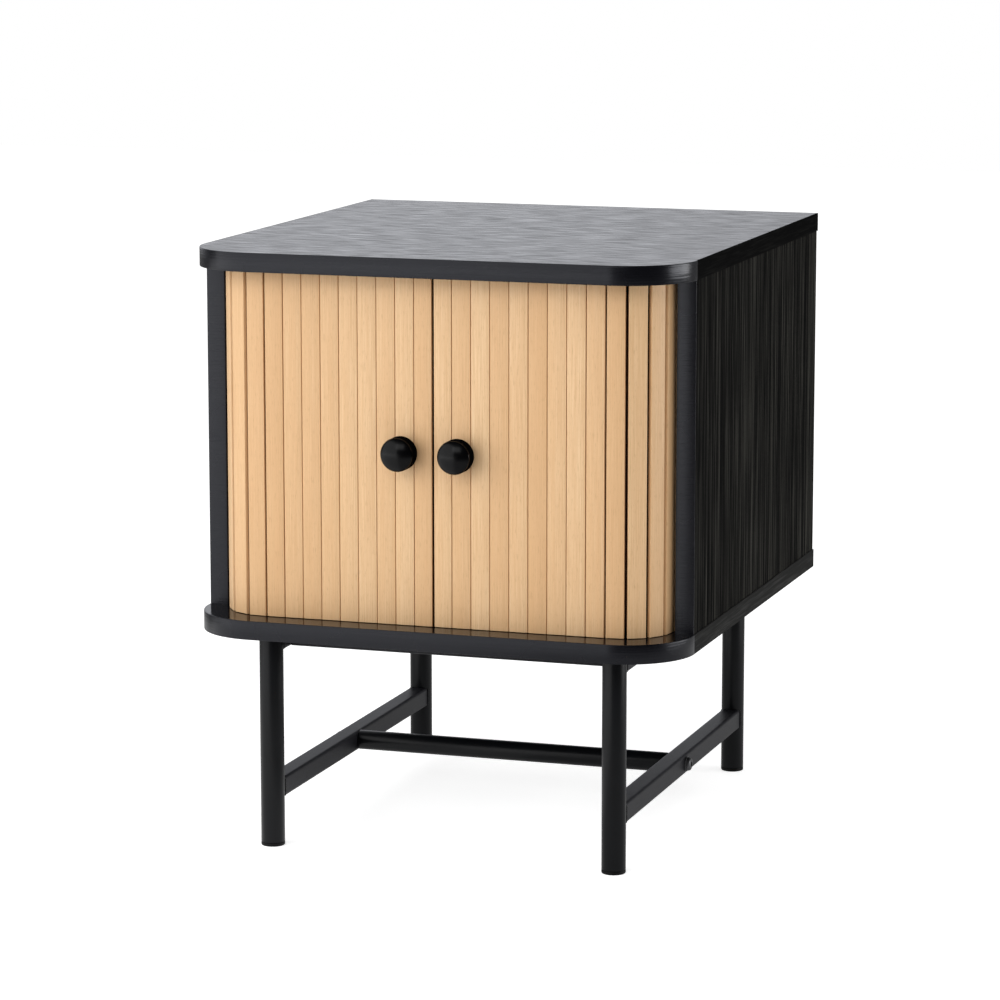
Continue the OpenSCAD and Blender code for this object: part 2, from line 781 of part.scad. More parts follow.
top_panel();
bottom_panel();
top_edge_band();
bottom_edge_band();
left_side_panel();
right_side_panel();
left_front_band();
right_front_band();
back_panel();
left_inner_panel();
right_inner_panel();
shelf();
shelf_pins();
panel_dowels();
cam_locks();
left_lead_slats();
left_slat_4();
left_slat_5();
left_slat_6();
left_slat_7();
left_slats_8_9();
left_slat_10();
left_slat_11();
left_slat_12();
left_slat_13();
left_tail_slats();
left_lead_canvas();
left_tail_canvas();
left_knob();
left_knob_screw();
right_lead_slats();
right_slat_4();
right_slat_5();
right_slat_6();
right_slat_7();
right_slats_8_9();
right_slat_10();
right_slat_11();
right_slat_12();
right_slat_13();
right_tail_slats();
right_lead_canvas();
right_tail_canvas();
right_knob();
right_knob_screw();
front_left_leg();
front_right_leg();
rear_left_leg();
rear_right_leg();
left_stretcher();
right_stretcher();
left_top_rail();
right_top_rail();
front_top_rail();
cross_rail();
cross_rail_bolts();
washers();
foot_caps();
frame_screws();
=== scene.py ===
# %% [markdown]
# # A bedside table with tambour doors
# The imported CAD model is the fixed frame. This script adds what the eye sees on top of it:
# finishes for every part, softened edges, wooden slats with their own grain, turned knobs
# and the welded steel base. Every length is in metres, and the front faces -Y.

import json
import math

import bmesh
import bpy
from mathutils import Matrix, Vector


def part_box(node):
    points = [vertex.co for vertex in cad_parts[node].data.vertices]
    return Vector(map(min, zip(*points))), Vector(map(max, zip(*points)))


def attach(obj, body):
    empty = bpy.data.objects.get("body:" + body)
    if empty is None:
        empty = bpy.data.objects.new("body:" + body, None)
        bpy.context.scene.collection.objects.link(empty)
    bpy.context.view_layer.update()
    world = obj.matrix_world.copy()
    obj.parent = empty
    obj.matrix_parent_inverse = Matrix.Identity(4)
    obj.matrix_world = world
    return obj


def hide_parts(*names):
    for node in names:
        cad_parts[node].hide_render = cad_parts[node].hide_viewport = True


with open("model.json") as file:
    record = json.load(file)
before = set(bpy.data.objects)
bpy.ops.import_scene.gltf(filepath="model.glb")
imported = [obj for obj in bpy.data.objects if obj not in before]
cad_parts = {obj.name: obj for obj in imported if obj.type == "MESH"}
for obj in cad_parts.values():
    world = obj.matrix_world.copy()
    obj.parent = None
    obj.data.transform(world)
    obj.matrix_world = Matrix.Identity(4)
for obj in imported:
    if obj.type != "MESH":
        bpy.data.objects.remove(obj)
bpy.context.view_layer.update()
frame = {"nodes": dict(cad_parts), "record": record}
MM = 0.001

# %% [markdown]
# ## Camera
# The photograph's upright lines are parallel, which a level camera with a shifted lens gives.
# Such a camera was fitted to 41 readings of the photograph and meets them to two or three
# pixels. A shift would stay in every other view and push the table out of it, so this camera
# looks down a little instead, and was fitted to the level one. It misses the readings by 2.7
# pixels on average, and the front feet stand seven to ten too high. It has no depth of field.

# %% Camera
camera_data = bpy.data.cameras.new("camera")
camera_data.sensor_width = 36
camera_data.lens = 144.35
camera = bpy.data.objects.new("camera", camera_data)
camera.location = (0.99049, -3.06968, 0.80622)
camera_turn = math.radians(18.058)
camera_dip = math.radians(9.686)
camera.rotation_euler = (math.pi / 2 - camera_dip, 0, camera_turn)
bpy.context.scene.collection.objects.link(camera)
bpy.context.scene.camera = camera
print("camera at", tuple(round(c, 2) for c in camera.location), "lens", round(camera_data.lens, 2))

# %% [markdown]
# ## Colours and node trees
# Colours are written the way a paint picker shows them, as sRGB hex, and one function turns
# them into the linear numbers that the renderer needs. Another adds one node to a tree with
# its settings and links, so each material below reads like a recipe.

# %% Helpers for materials
def colour(hex_code):
    """sRGB hex, such as C8A070, as linear red, green, blue and alpha."""
    values = [int(hex_code[i:i + 2], 16) / 255 for i in (0, 2, 4)]
    linear = [v / 12.92 if v <= 0.04045 else ((v + 0.055) / 1.055) ** 2.4 for v in values]
    return (*linear, 1.0)


def feed(tree, node, inputs):
    """Gives a node's inputs a number, a colour, a vector or another node's output."""
    for name, value in inputs.items():
        if isinstance(value, bpy.types.NodeSocket):
            tree.links.new(value, node.inputs[name])
        else:
            node.inputs[name].default_value = value


def add(tree, kind, inputs=None, **settings):
    """Adds a node with its settings and what goes into its inputs."""
    made = tree.nodes.new(kind)
    for name, value in settings.items():
        setattr(made, name, value)
    feed(tree, made, inputs or {})
    return made


def start_tree(owner):
    """The node tree of a new material or world, emptied."""
    owner.use_nodes = True
    owner.node_tree.nodes.clear()
    return owner.node_tree


def start_material(name):
    """A new material, its tree, and its shader joined to the output."""
    material = bpy.data.materials.new(name)
    tree = start_tree(material)
    shader = add(tree, "ShaderNodeBsdfPrincipled")
    add(tree, "ShaderNodeOutputMaterial", {"Surface": shader.outputs["BSDF"]})
    return material, tree, shader

# %% [markdown]
# ## Black woodgrain board
# The photograph shows near-black boards with fine, long pores that catch the light. They are
# taken to be particle board under a black melamine film with pressed pores, as is common,
# but a photograph can't tell. Two noises stretched along the grain draw the pores, and the
# broader bands in which they crowd together. A ramp keeps most of the film black.
#
# Such pores are taken as 0.1 mm wide. That is too fine to show from here, so they are drawn
# four to nine times as wide. How glossy and how grey each board is wasn't known either: it
# was set by comparing renders with the photograph.

# %% Woodgrain board
def stretch(width, length, grain_axis):
    """Mapping scale for a pattern of that width, drawn out to length along one axis."""
    scale = [1 / width] * 3
    scale[grain_axis] = 1 / length
    return scale


def woodgrain_board(name, grain_axis, pore, band, colours, roughness, specular, bump):
    """Black film with pressed pores along grain_axis. pore and band are (width, length)."""
    material, tree, shader = start_material(name)
    place = add(tree, "ShaderNodeTexCoord")
    fine_place = add(tree, "ShaderNodeMapping", {
        "Vector": place.outputs["Object"], "Scale": stretch(*pore, grain_axis)})
    broad_place = add(tree, "ShaderNodeMapping", {
        "Vector": place.outputs["Object"], "Scale": stretch(*band, grain_axis)})
    pores = add(tree, "ShaderNodeTexNoise", {
        "Vector": fine_place.outputs["Vector"], "Scale": 1.0, "Detail": 2.0, "Roughness": 0.5})
    crowd = add(tree, "ShaderNodeTexNoise", {
        "Vector": broad_place.outputs["Vector"], "Scale": 1.0, "Detail": 1.0})
    spread = add(tree, "ShaderNodeMapRange", {
        "Value": crowd.outputs["Fac"], "From Min": 0.35, "From Max": 0.65, "To Min": -0.1, "To Max": 0.1})
    shifted = add(tree, "ShaderNodeMath", {
        0: pores.outputs["Fac"], 1: spread.outputs["Result"]}, operation="ADD")
    line = add(tree, "ShaderNodeMapRange", {
        "Value": shifted.outputs["Value"], "From Min": 0.52, "From Max": 0.68})
    shade = add(tree, "ShaderNodeMix", {
        "Factor": line.outputs["Result"], "A": colour(colours[0]), "B": colour(colours[1])},
        data_type="RGBA")
    rough = add(tree, "ShaderNodeMapRange", {
        "Value": shifted.outputs["Value"], "From Min": 0.35, "From Max": 0.65,
        "To Min": roughness[0], "To Max": roughness[1]})
    relief = add(tree, "ShaderNodeBump", {
        "Height": shifted.outputs["Value"], "Strength": bump, "Distance": 0.15 * MM})
    feed(tree, shader, {
        "Base Color": shade.outputs["Result"], "Roughness": rough.outputs["Result"],
        "Specular IOR Level": specular, "Normal": relief.outputs["Normal"]})
    return material

# %% Board finishes
# Satin for the top, and glossier in the pores, which breaks the mirrored paper into dashes.
board_top = woodgrain_board(
    "black melamine woodgrain, grain across", grain_axis=0,
    pore=(0.9 * MM, 24 * MM), band=(2.6 * MM, 30 * MM), colours=("0B0C10", "282930"),
    roughness=(0.4, 0.14), specular=0.47, bump=0.3)
# Smoother for the lower board, because the photograph shows the slats' brown mirrored in it.
board_bottom = woodgrain_board(
    "black melamine woodgrain, polished", grain_axis=0,
    pore=(0.6 * MM, 16 * MM), band=(3 * MM, 20 * MM), colours=("0A0A0C", "18181C"),
    roughness=(0.16, 0.1), specular=0.2, bump=0.15)
# Matt for the sides, with grey upright lines. The photograph's lines are stronger than these.
board_side = woodgrain_board(
    "black melamine woodgrain, grain upright", grain_axis=2,
    pore=(0.45 * MM, 90 * MM), band=(2.2 * MM, 300 * MM), colours=("080808", "403F3B"),
    roughness=(0.85, 0.8), specular=0.02, bump=0.5)
# Matt for the strips on the boards' straight sides. The lower one is drawn greyer, and that grey is painted
# light: it stands in for the light that falls on that side.
side_strip = woodgrain_board(
    "black melamine strip, grain along", grain_axis=1,
    pore=(0.6 * MM, 30 * MM), band=(4 * MM, 90 * MM), colours=("060606", "121211"),
    roughness=(0.8, 0.75), specular=0.02, bump=0.3)
painted_light_lower_strip = woodgrain_board(
    "black melamine strip painted lighter, grain along", grain_axis=1,
    pore=(0.6 * MM, 30 * MM), band=(3 * MM, 90 * MM), colours=("242423", "343433"),
    roughness=(0.8, 0.7), specular=0.05, bump=0.3)
print("board finishes", board_top.name, "|", board_bottom.name, "|", board_side.name)

# %% [markdown]
# ## Plastic, lacquer and powder coat
# These black skins are all nearly even, and a photograph can't tell what they are made of, so
# each is named for the usual material of such a piece. What tells them apart is how sharply
# they mirror, so one recipe serves them: soft patches a little lighter and rougher than the
# rest, and under them a skin of fine bumps. A moulded skin and the orange peel of a powder
# coat are the same in all directions. An extruded band has lines.
#
# The coat on the square rails is drawn coarser than that on the round legs, or their flat
# tops would mirror the studio. That was chosen for the render and isn't known of the object.

# %% Smooth skins
def smooth_skin(name, base, light, roughness, specular, patch, bump, skin=(0.8 * MM,) * 3, tint=(1, 1, 1)):
    """A nearly even skin with patches of that size. skin is the size of its bumps along X, Y and Z."""
    material, tree, shader = start_material(name)
    place = add(tree, "ShaderNodeTexCoord")
    clouds = add(tree, "ShaderNodeTexNoise", {
        "Vector": place.outputs["Object"], "Scale": 1 / patch, "Detail": 2.0})
    skin_place = add(tree, "ShaderNodeMapping", {
        "Vector": place.outputs["Object"], "Scale": [1 / size for size in skin]})
    skin_grain = add(tree, "ShaderNodeTexNoise", {
        "Vector": skin_place.outputs["Vector"], "Scale": 1.0, "Detail": 2.0})
    shade = add(tree, "ShaderNodeMix", {
        "Factor": clouds.outputs["Fac"], "A": colour(base), "B": colour(light)}, data_type="RGBA")
    rough = add(tree, "ShaderNodeMapRange", {
        "Value": clouds.outputs["Fac"], "To Min": roughness - 0.04, "To Max": roughness + 0.04})
    relief = add(tree, "ShaderNodeBump", {
        "Height": skin_grain.outputs["Fac"], "Strength": bump, "Distance": 0.12 * skin[2]})
    feed(tree, shader, {
        "Base Color": shade.outputs["Result"], "Roughness": rough.outputs["Result"],
        "Specular IOR Level": specular, "Specular Tint": (*tint, 1),
        "Normal": relief.outputs["Normal"]})
    return material

# %% Smooth finishes
# Taken as extruded ABS: satin, a little blue, with fine lines where it catches the light.
edge_band = smooth_skin(
    "dark grey ABS edge band", "08080B", "0F0F14", roughness=0.27, specular=0.27,
    patch=60 * MM, bump=1.0, skin=(40 * MM, 40 * MM, 1.2 * MM), tint=(0.9, 0.92, 1.0))
# Taken as moulded polyethylene: dull and waxy.
foot_plastic = smooth_skin(
    "black polyethylene foot", "060606", "0B0B0B", roughness=0.5, specular=0.15,
    patch=8 * MM, bump=0.15)
# Taken as sprayed lacquer: glossy on the dome, and dull on the side, which the photo shows dark.
knob_black = smooth_skin(
    "black gloss lacquer", "030304", "060607", roughness=0.22, specular=0.14,
    patch=12 * MM, bump=0.03)
knob_side = smooth_skin(
    "black lacquer, unpolished side", "060607", "09090A", roughness=0.6, specular=0.0,
    patch=12 * MM, bump=0.03)
# Plain film without pores for the inside, which the photograph doesn't show.
inner_board = smooth_skin(
    "plain black melamine", "0E0E0F", "151516", roughness=0.5, specular=0.2,
    patch=40 * MM, bump=0.15)
# Taken as powder coat: a satin skin with an orange peel, drawn 0.8 mm across.
powder_coat = smooth_skin(
    "black satin powder coat", "08090B", "101114", roughness=0.32, specular=0.17,
    patch=30 * MM, bump=0.25)
# The rails' coat is duller and has lighter specks. The specks are partly a coarse mottle and partly painted
# sheen: they give the flat faces the dark grey that mirrored light would give a glossier coat.
painted_sheen_rail_coat = smooth_skin(
    "black powder coat, coarser, with painted sheen", "08080A", "2C2C31", roughness=0.45, specular=0.14,
    patch=4 * MM, bump=0.6)
# For the dowels inside, taken as turned beech: pale, dry and dull.
beech = smooth_skin(
    "beech dowel", "C9A878", "D8BA8C", roughness=0.7, specular=0.2, patch=5 * MM, bump=0.25)
print("smooth finishes", edge_band.name, "|", powder_coat.name, "|", knob_black.name)

# %% [markdown]
# ## Plated and cast metal
# Of the fittings the photograph shows one dark bolt with its washer, drawn as steel blackened
# in hot oxide. The others are inside and are taken as the usual ones: zinc plated screws and
# cams of die-cast zinc. Crystals in the metal or the plating give each a faint spangle,
# which a cell pattern draws about 1 mm wide, coarser than real, to show.

# %% Metals
def plain_metal(name, base, light, roughness, grain):
    """Metal with a spangle of that grain size."""
    material, tree, shader = start_material(name)
    place = add(tree, "ShaderNodeTexCoord")
    spangle = add(tree, "ShaderNodeTexVoronoi", {
        "Vector": place.outputs["Object"], "Scale": 1 / grain}, feature="F1")
    shade = add(tree, "ShaderNodeMix", {
        "Factor": spangle.outputs["Distance"], "A": colour(base), "B": colour(light)}, data_type="RGBA")
    rough = add(tree, "ShaderNodeMapRange", {
        "Value": spangle.outputs["Distance"], "To Min": roughness, "To Max": roughness + 0.15})
    feed(tree, shader, {
        "Base Color": shade.outputs["Result"], "Roughness": rough.outputs["Result"], "Metallic": 1.0})
    return material


zinc_plate = plain_metal("zinc plated steel", "A9ABAD", "BCBEC0", roughness=0.3, grain=1.5 * MM)
zinc_cast = plain_metal("zinc die casting", "A0A2A4", "B2B4B6", roughness=0.42, grain=1.0 * MM)
black_oxide = plain_metal("black oxide steel", "4A4A4C", "6A6A6C", roughness=0.42, grain=0.8 * MM)
print("metals", zinc_plate.name, "|", zinc_cast.name, "|", black_oxide.name)

# %% [markdown]
# ## Oak
# The slats look like pale wood with a straight, fine, upright grain under a satin lacquer,
# and are taken as oak. They differ in tone, so each has its own. A UV map runs across and
# along each slat in metres and gives each its own patch of the pattern, and an attribute
# holds its tone.
#
# Three noises lie over each other: fibres, the broader bands of the year rings, and the
# short dark dashes of the pores. Fibres and pores are taken as a tenth of a millimetre wide,
# and they are drawn about five times as wide, or they wouldn't show.

# %% Oak
# Width and length of each pattern.
FIBRE = (0.55 * MM, 70 * MM)
YEAR_BAND = (3.2 * MM, 260 * MM)
PORE = (0.45 * MM, 9 * MM)


def oak(name):
    """Lacquered oak that reads the UV map strip and the attribute tone."""
    material, tree, shader = start_material(name)
    strip = add(tree, "ShaderNodeUVMap", uv_map="strip")
    tone = add(tree, "ShaderNodeAttribute", attribute_name="tone")
    fibre_place = add(tree, "ShaderNodeMapping", {
        "Vector": strip.outputs["UV"], "Scale": (1 / FIBRE[0], 1 / FIBRE[1], 1)})
    band_place = add(tree, "ShaderNodeMapping", {
        "Vector": strip.outputs["UV"], "Scale": (1 / YEAR_BAND[0], 1 / YEAR_BAND[1], 1)})
    pore_place = add(tree, "ShaderNodeMapping", {
        "Vector": strip.outputs["UV"], "Scale": (1 / PORE[0], 1 / PORE[1], 1)})
    fibre = add(tree, "ShaderNodeTexNoise", {
        "Vector": fibre_place.outputs["Vector"], "Scale": 1.0, "Detail": 4.0, "Roughness": 0.65})
    band = add(tree, "ShaderNodeTexNoise", {
        "Vector": band_place.outputs["Vector"], "Scale": 1.0, "Detail": 2.0})
    pore = add(tree, "ShaderNodeTexNoise", {
        "Vector": pore_place.outputs["Vector"], "Scale": 1.0, "Detail": 2.0, "Roughness": 0.7})
    streak = add(tree, "ShaderNodeMapRange", {
        "Value": fibre.outputs["Fac"], "From Min": 0.35, "From Max": 0.68})
    wood = add(tree, "ShaderNodeMix", {
        "Factor": tone.outputs["Fac"], "A": colour("F4D5AB"), "B": colour("D3A574")}, data_type="RGBA")
    lined = add(tree, "ShaderNodeMix", {
        "Factor": streak.outputs["Result"], "A": colour("CB9E6E"), "B": wood.outputs["Result"]},
        data_type="RGBA")
    soft = add(tree, "ShaderNodeMix", {
        "Factor": 0.68, "A": wood.outputs["Result"], "B": lined.outputs["Result"]}, data_type="RGBA")
    banded_by = add(tree, "ShaderNodeMapRange", {
        "Value": band.outputs["Fac"], "From Min": 0.3, "From Max": 0.7, "To Min": 0.0, "To Max": 0.35})
    banded = add(tree, "ShaderNodeMix", {
        "Factor": banded_by.outputs["Result"], "A": soft.outputs["Result"], "B": colour("DCAF7E")},
        data_type="RGBA")
    dash = add(tree, "ShaderNodeMapRange", {
        "Value": pore.outputs["Fac"], "From Min": 0.58, "From Max": 0.72, "To Min": 0.0, "To Max": 0.5})
    pored = add(tree, "ShaderNodeMix", {
        "Factor": dash.outputs["Result"], "A": banded.outputs["Result"], "B": colour("A87C50")},
        data_type="RGBA")
    relief = add(tree, "ShaderNodeBump", {
        "Height": streak.outputs["Result"], "Strength": 0.25, "Distance": 0.06 * MM})
    feed(tree, shader, {
        "Base Color": pored.outputs["Result"], "Roughness": 0.48, "Specular IOR Level": 0.35,
        "Normal": relief.outputs["Normal"]})
    return material


oak_slat = oak("pale oak, satin lacquer")
print("wood", oak_slat.name, "nodes", len(oak_slat.node_tree.nodes))

# %% [markdown]
# ## Canvas
# The slats of a tambour are glued to cloth. The photograph shows only a dark red-brown in the gaps between
# them, so plain woven cotton is a guess. Its dark, saturated red-brown is partly painted shade: it stands in
# for the warm shade that falls in the gaps between the slats. Two waves at right angles, multiplied, give
# the bumps of warp over weft.

# %% Canvas
THREAD_SPACING = 0.8 * MM
WAVE_RADIANS = 20


def canvas_cloth(name):
    """Plain weave. Blender's wave turns WAVE_RADIANS radians for each unit of its scale."""
    material, tree, shader = start_material(name)
    place = add(tree, "ShaderNodeTexCoord")
    turns = 2 * math.pi / THREAD_SPACING / WAVE_RADIANS
    warp = add(tree, "ShaderNodeTexWave", {
        "Vector": place.outputs["Object"], "Scale": turns}, bands_direction="X")
    weft = add(tree, "ShaderNodeTexWave", {
        "Vector": place.outputs["Object"], "Scale": turns}, bands_direction="Z")
    weave = add(tree, "ShaderNodeMath", {
        0: warp.outputs["Fac"], 1: weft.outputs["Fac"]}, operation="MULTIPLY")
    # The dark red-browns are partly painted shade for the gaps between the slats.
    shade = add(tree, "ShaderNodeMix", {
        "Factor": weave.outputs["Value"], "A": colour("24100A"), "B": colour("552E18")}, data_type="RGBA")
    relief = add(tree, "ShaderNodeBump", {
        "Height": weave.outputs["Value"], "Strength": 0.5, "Distance": 0.2 * MM})
    feed(tree, shader, {
        "Base Color": shade.outputs["Result"], "Roughness": 0.9, "Specular IOR Level": 0.2,
        "Normal": relief.outputs["Normal"]})
    return material


canvas = canvas_cloth("cotton canvas with painted gap shade")
print("cloth", canvas.name, "thread every", THREAD_SPACING / MM, "mm")

# %% [markdown]
# ## Finishes on the CAD parts
# Parts whose shape is already right keep their CAD mesh and only get a finish. The record
# names a slot for each node, and this table says which finish each slot gets.

# %% Dress the CAD nodes
SLOT_FINISH = {
    "black_woodgrain_board": board_side,
    "black_edge_band": edge_band,
    "black_inner_board": inner_board,
    "oak_slats": oak_slat,
    "brown_canvas": canvas,
    "black_gloss_knob": knob_black,
    "black_powder_coated_steel": powder_coat,
    "black_plastic": foot_plastic,
    "black_oxide_steel": black_oxide,
    "zinc_steel": zinc_plate,
    "zinc_diecast": zinc_cast,
    "beech_dowel": beech,
}
for entry in frame["record"]["subparts"]:
    node = frame["nodes"][entry["node"]]
    node.data.materials.clear()
    node.data.materials.append(SLOT_FINISH[entry["material_slot"]])
frame["nodes"]["top_panel"].data.materials[0] = board_top
frame["nodes"]["bottom_panel"].data.materials[0] = board_bottom

# %% [markdown]
# ## Making pieces
# A new piece is shaped in a bmesh. One helper turns it into an object at the origin, gives it its finish,
# lets it ride on its CAD body and hides the CAD nodes that it stands for.

# %% Piece helpers
def finish_piece(name, shape, body, material, replaced=(), smooth_under=35):
    """The bmesh becomes a piece. Faces that meet at less than smooth_under degrees shade as one."""
    mesh = bpy.data.meshes.new(name)
    for face in shape.faces:
        face.smooth = True
    for edge in shape.edges:
        if len(edge.link_faces) == 2:
            edge.smooth = edge.calc_face_angle() < math.radians(smooth_under)
    shape.to_mesh(mesh)
    shape.free()
    mesh.materials.append(material)
    piece = bpy.data.objects.new(name, mesh)
    bpy.context.scene.collection.objects.link(piece)
    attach(piece, body)
    if replaced:
        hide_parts(*replaced)
    return piece


def node_size(name):
    low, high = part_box(name)
    return Vector(high) - Vector(low)


def node_middle(name):
    low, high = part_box(name)
    return (Vector(high) + Vector(low)) / 2


def verts_in(geom):
    """The vertices among what an operator has made."""
    return [g for g in geom if isinstance(g, bmesh.types.BMVert)]


def face_outwards(shape):
    bmesh.ops.recalc_face_normals(shape, faces=shape.faces)


def ease_edges(shape, edges, amount):
    """Takes the sharpness off edges, as sandpaper or a trimmer does."""
    bmesh.ops.bevel(shape, geom=edges, offset=amount, segments=3, profile=0.5,
                    affect="EDGES", material=-1, clamp_overlap=True)

# %% [markdown]
# ## The curtain's line
# A tambour door is a curtain of slats on a strip of canvas. It runs along the front, round
# the bend behind the corner, and back along the side. The canvas lies on that line, and a
# slat is a chord of it, one pitch long. All numbers but the bend's radius come from the CAD.

# %% Curtain line
slat_lowest, slat_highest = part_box("right_slat_4")
slat_pitch = node_middle("right_slat_5").x - node_middle("right_slat_4").x
slat_face_y, canvas_y = slat_lowest[1], slat_highest[1]
slat_low, slat_high = slat_lowest[2], slat_highest[2]
slat_middle_z = (slat_low + slat_high) / 2
BEND_RADIUS = 34 * MM
side_run_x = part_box("right_tail_canvas")[1][0]
bend_x = side_run_x - BEND_RADIUS
bend_length = BEND_RADIUS * math.pi / 2
print("pitch", round(slat_pitch / MM, 2), "mm, bend starts at", round(bend_x / MM, 1), "mm")


def canvas_point(run):
    """Point of the canvas line on the right, run metres from the meeting of the doors."""
    past = run - bend_x
    if past <= 0:
        return Vector((run, canvas_y, 0))
    if past <= bend_length:
        turn = past / BEND_RADIUS
        return Vector((bend_x + BEND_RADIUS * math.sin(turn),
                       canvas_y + BEND_RADIUS * (1 - math.cos(turn)), 0))
    return Vector((side_run_x, canvas_y + BEND_RADIUS + past - bend_length, 0))


def chord_place(start_run, end_run, side, shift=0.0):
    """Place and turn of a strip with both edges on the canvas line. side is +1 or -1, for right or left."""
    start, end = canvas_point(start_run), canvas_point(end_run)
    middle = (start + end) / 2
    turn = math.atan2(end.y - start.y, end.x - start.x)
    spot = Matrix.Translation((side * (middle.x + shift), middle.y, 0))
    return spot @ Matrix.Rotation(side * turn, 4, "Z")

# %% [markdown]
# ## Slats
# A slat is a strip with bevelled back edges, so that the curtain can bend. Its front edges
# are eased by a third of a millimetre, and that is what draws the thin light line along
# them. The section is drawn once as six points, pulled up to the slat's length and eased.
# Slats that only slide have a tongue at both ends, which runs in the boards' grooves.
#
# In the photograph the slats and the gaps between them differ a little in width. That was copied, with one
# list for both doors, and isn't true to a tenth of a millimetre.

# %% Slat shape
SLAT_COUNT = 15
CORNER_SLATS = tuple(range(4, 14))
slat_size = node_size("right_slat_4")
back_width = slat_size.x - 3.3 * MM
BEVEL_HEIGHT = 2.25 * MM
SLAT_EASE = 0.35 * MM
TONGUE_DEPTH = 3 * MM
TONGUE_REACH = 5 * MM
# What each slat's face is wider than in the CAD, in millimetres, from the meeting line outwards.
WIDTH_ERRORS = (-0.3, 0.5, 0.45, 0.6, 0.5, 0.4, 0.55, 0.45, 0.1, -0.2, 0.0, -1.2, 0.4, 0.2, 0.2)
print("slat face", round(slat_size.x / MM, 2), "mm, back", round(back_width / MM, 2), "mm")


def slat_shape(number, tongue):
    """One slat, upright at the middle of the world, face towards -Y and canvas side at y = 0."""
    half = slat_size.x / 2 + WIDTH_ERRORS[number - 1] * MM / 2
    back = back_width / 2
    depth = slat_size.y
    shape = bmesh.new()
    outline = [(-back, 0), (-half, -BEVEL_HEIGHT), (-half, -depth),
               (half, -depth), (half, -BEVEL_HEIGHT), (back, 0)]
    section = shape.faces.new([shape.verts.new((x, y, slat_low)) for x, y in outline])
    pulled = bmesh.ops.extrude_face_region(shape, geom=[section])["geom"]
    bmesh.ops.translate(shape, vec=(0, 0, slat_high - slat_low), verts=verts_in(pulled))
    face_outwards(shape)
    ease_edges(shape, [e for e in shape.edges if all(v.co.y < -depth + 1e-6 for v in e.verts)], SLAT_EASE)
    if tongue:
        block = bmesh.ops.create_cube(shape, size=1.0)["verts"]
        height = slat_high - slat_low + 2 * TONGUE_REACH
        bmesh.ops.scale(shape, vec=(back_width - 2 * MM, TONGUE_DEPTH, height), verts=block)
        bmesh.ops.translate(shape, vec=(0, -TONGUE_DEPTH / 2, slat_middle_z), verts=block)
    return shape

# %% Slats
# Tones go from 0, pale, to 1, dark. They are a made-up mix, not matched slat by slat to the
# photograph. The left curtain takes every fourth one, so the two differ.
TONES = (0.45, 0.3, 0.55, 0.2, 0.6, 0.35, 0.7, 0.4, 0.25, 0.5, 0.65, 0.3, 0.45, 0.6, 0.5)
# The first slats stand this much off the meeting line, which leaves the gap between the doors.
MEETING_EASE = 0.35 * MM


def add_uv_strip(shape, number, side):
    """UV in metres: across the slat and along it, with another patch for each slat."""
    layer = shape.loops.layers.uv.new("strip")
    offset = 0.37 * number + (0.19 if side > 0 else 0.0)
    for face in shape.faces:
        for loop in face.loops:
            spot = loop.vert.co
            loop[layer].uv = (spot.x + spot.y + offset, spot.z + offset * 3)


def make_slat(number, side, body, replaced, tongue):
    shape = slat_shape(number, tongue)
    add_uv_strip(shape, number, side)
    tone = shape.verts.layers.float.new("tone")
    for vert in shape.verts:
        vert[tone] = TONES[(number * (1 if side > 0 else 4)) % SLAT_COUNT]
    place = chord_place((number - 1) * slat_pitch, number * slat_pitch, side,
                        MEETING_EASE if number == 1 else 0.0)
    bmesh.ops.transform(shape, matrix=place, verts=shape.verts)
    name = f"{'right' if side > 0 else 'left'}_oak_slat_{number}"
    return finish_piece(name, shape, body, oak_slat, replaced)


def slat_body(number, word):
    """The CAD body that a slat moves with. Slats 8 and 9 keep together."""
    if number < CORNER_SLATS[0]:
        return f"{word}_lead"
    if number > CORNER_SLATS[-1]:
        return f"{word}_tail"
    return f"{word}_slats_8_9" if number in (8, 9) else f"{word}_slat_{number}"


for side, word in ((1, "right"), (-1, "left")):
    for number in range(1, SLAT_COUNT + 1):
        body = slat_body(number, word)
        node = body if number in CORNER_SLATS else f"{body}_slats"
        make_slat(number, side, body, [node], tongue=number not in CORNER_SLATS)
print("slats", 2 * SLAT_COUNT)

# %% [markdown]
# ## Canvas behind the slats
# The canvas is the curtain's hinge. Behind the leading slats it is one stretched sheet, and
# so it is behind the tail. Where the curtain bends as it slides, the canvas follows each
# slat and is laid in strips. It is drawn as thin cloth, from a grid that gets a thickness.

# %% Canvas sheets
CANVAS_THICKNESS = 0.45 * MM
CANVAS_GAP = 0.05 * MM
CANVAS_MARGIN = 8 * MM


def canvas_piece(name, width, middle_run, side, body, replaced=()):
    """A stretched strip of canvas, its middle at middle_run along the curtain's line."""
    height = slat_high - slat_low - 2 * CANVAS_MARGIN
    shape = bmesh.new()
    bmesh.ops.create_grid(shape, x_segments=6, y_segments=60, size=0.5)
    bmesh.ops.scale(shape, vec=(width, height, 1), verts=shape.verts)
    upright = Matrix.Rotation(math.pi / 2, 3, "X")
    bmesh.ops.rotate(shape, cent=(0, 0, 0), matrix=upright, verts=shape.verts)
    bmesh.ops.translate(shape, vec=(0, CANVAS_GAP, slat_middle_z), verts=shape.verts)
    bmesh.ops.solidify(shape, geom=shape.faces[:], thickness=-CANVAS_THICKNESS)
    place = chord_place(middle_run - width / 2, middle_run + width / 2, side)
    bmesh.ops.transform(shape, matrix=place, verts=shape.verts)
    face_outwards(shape)
    piece = finish_piece(name, shape, body, canvas, replaced)
    return piece


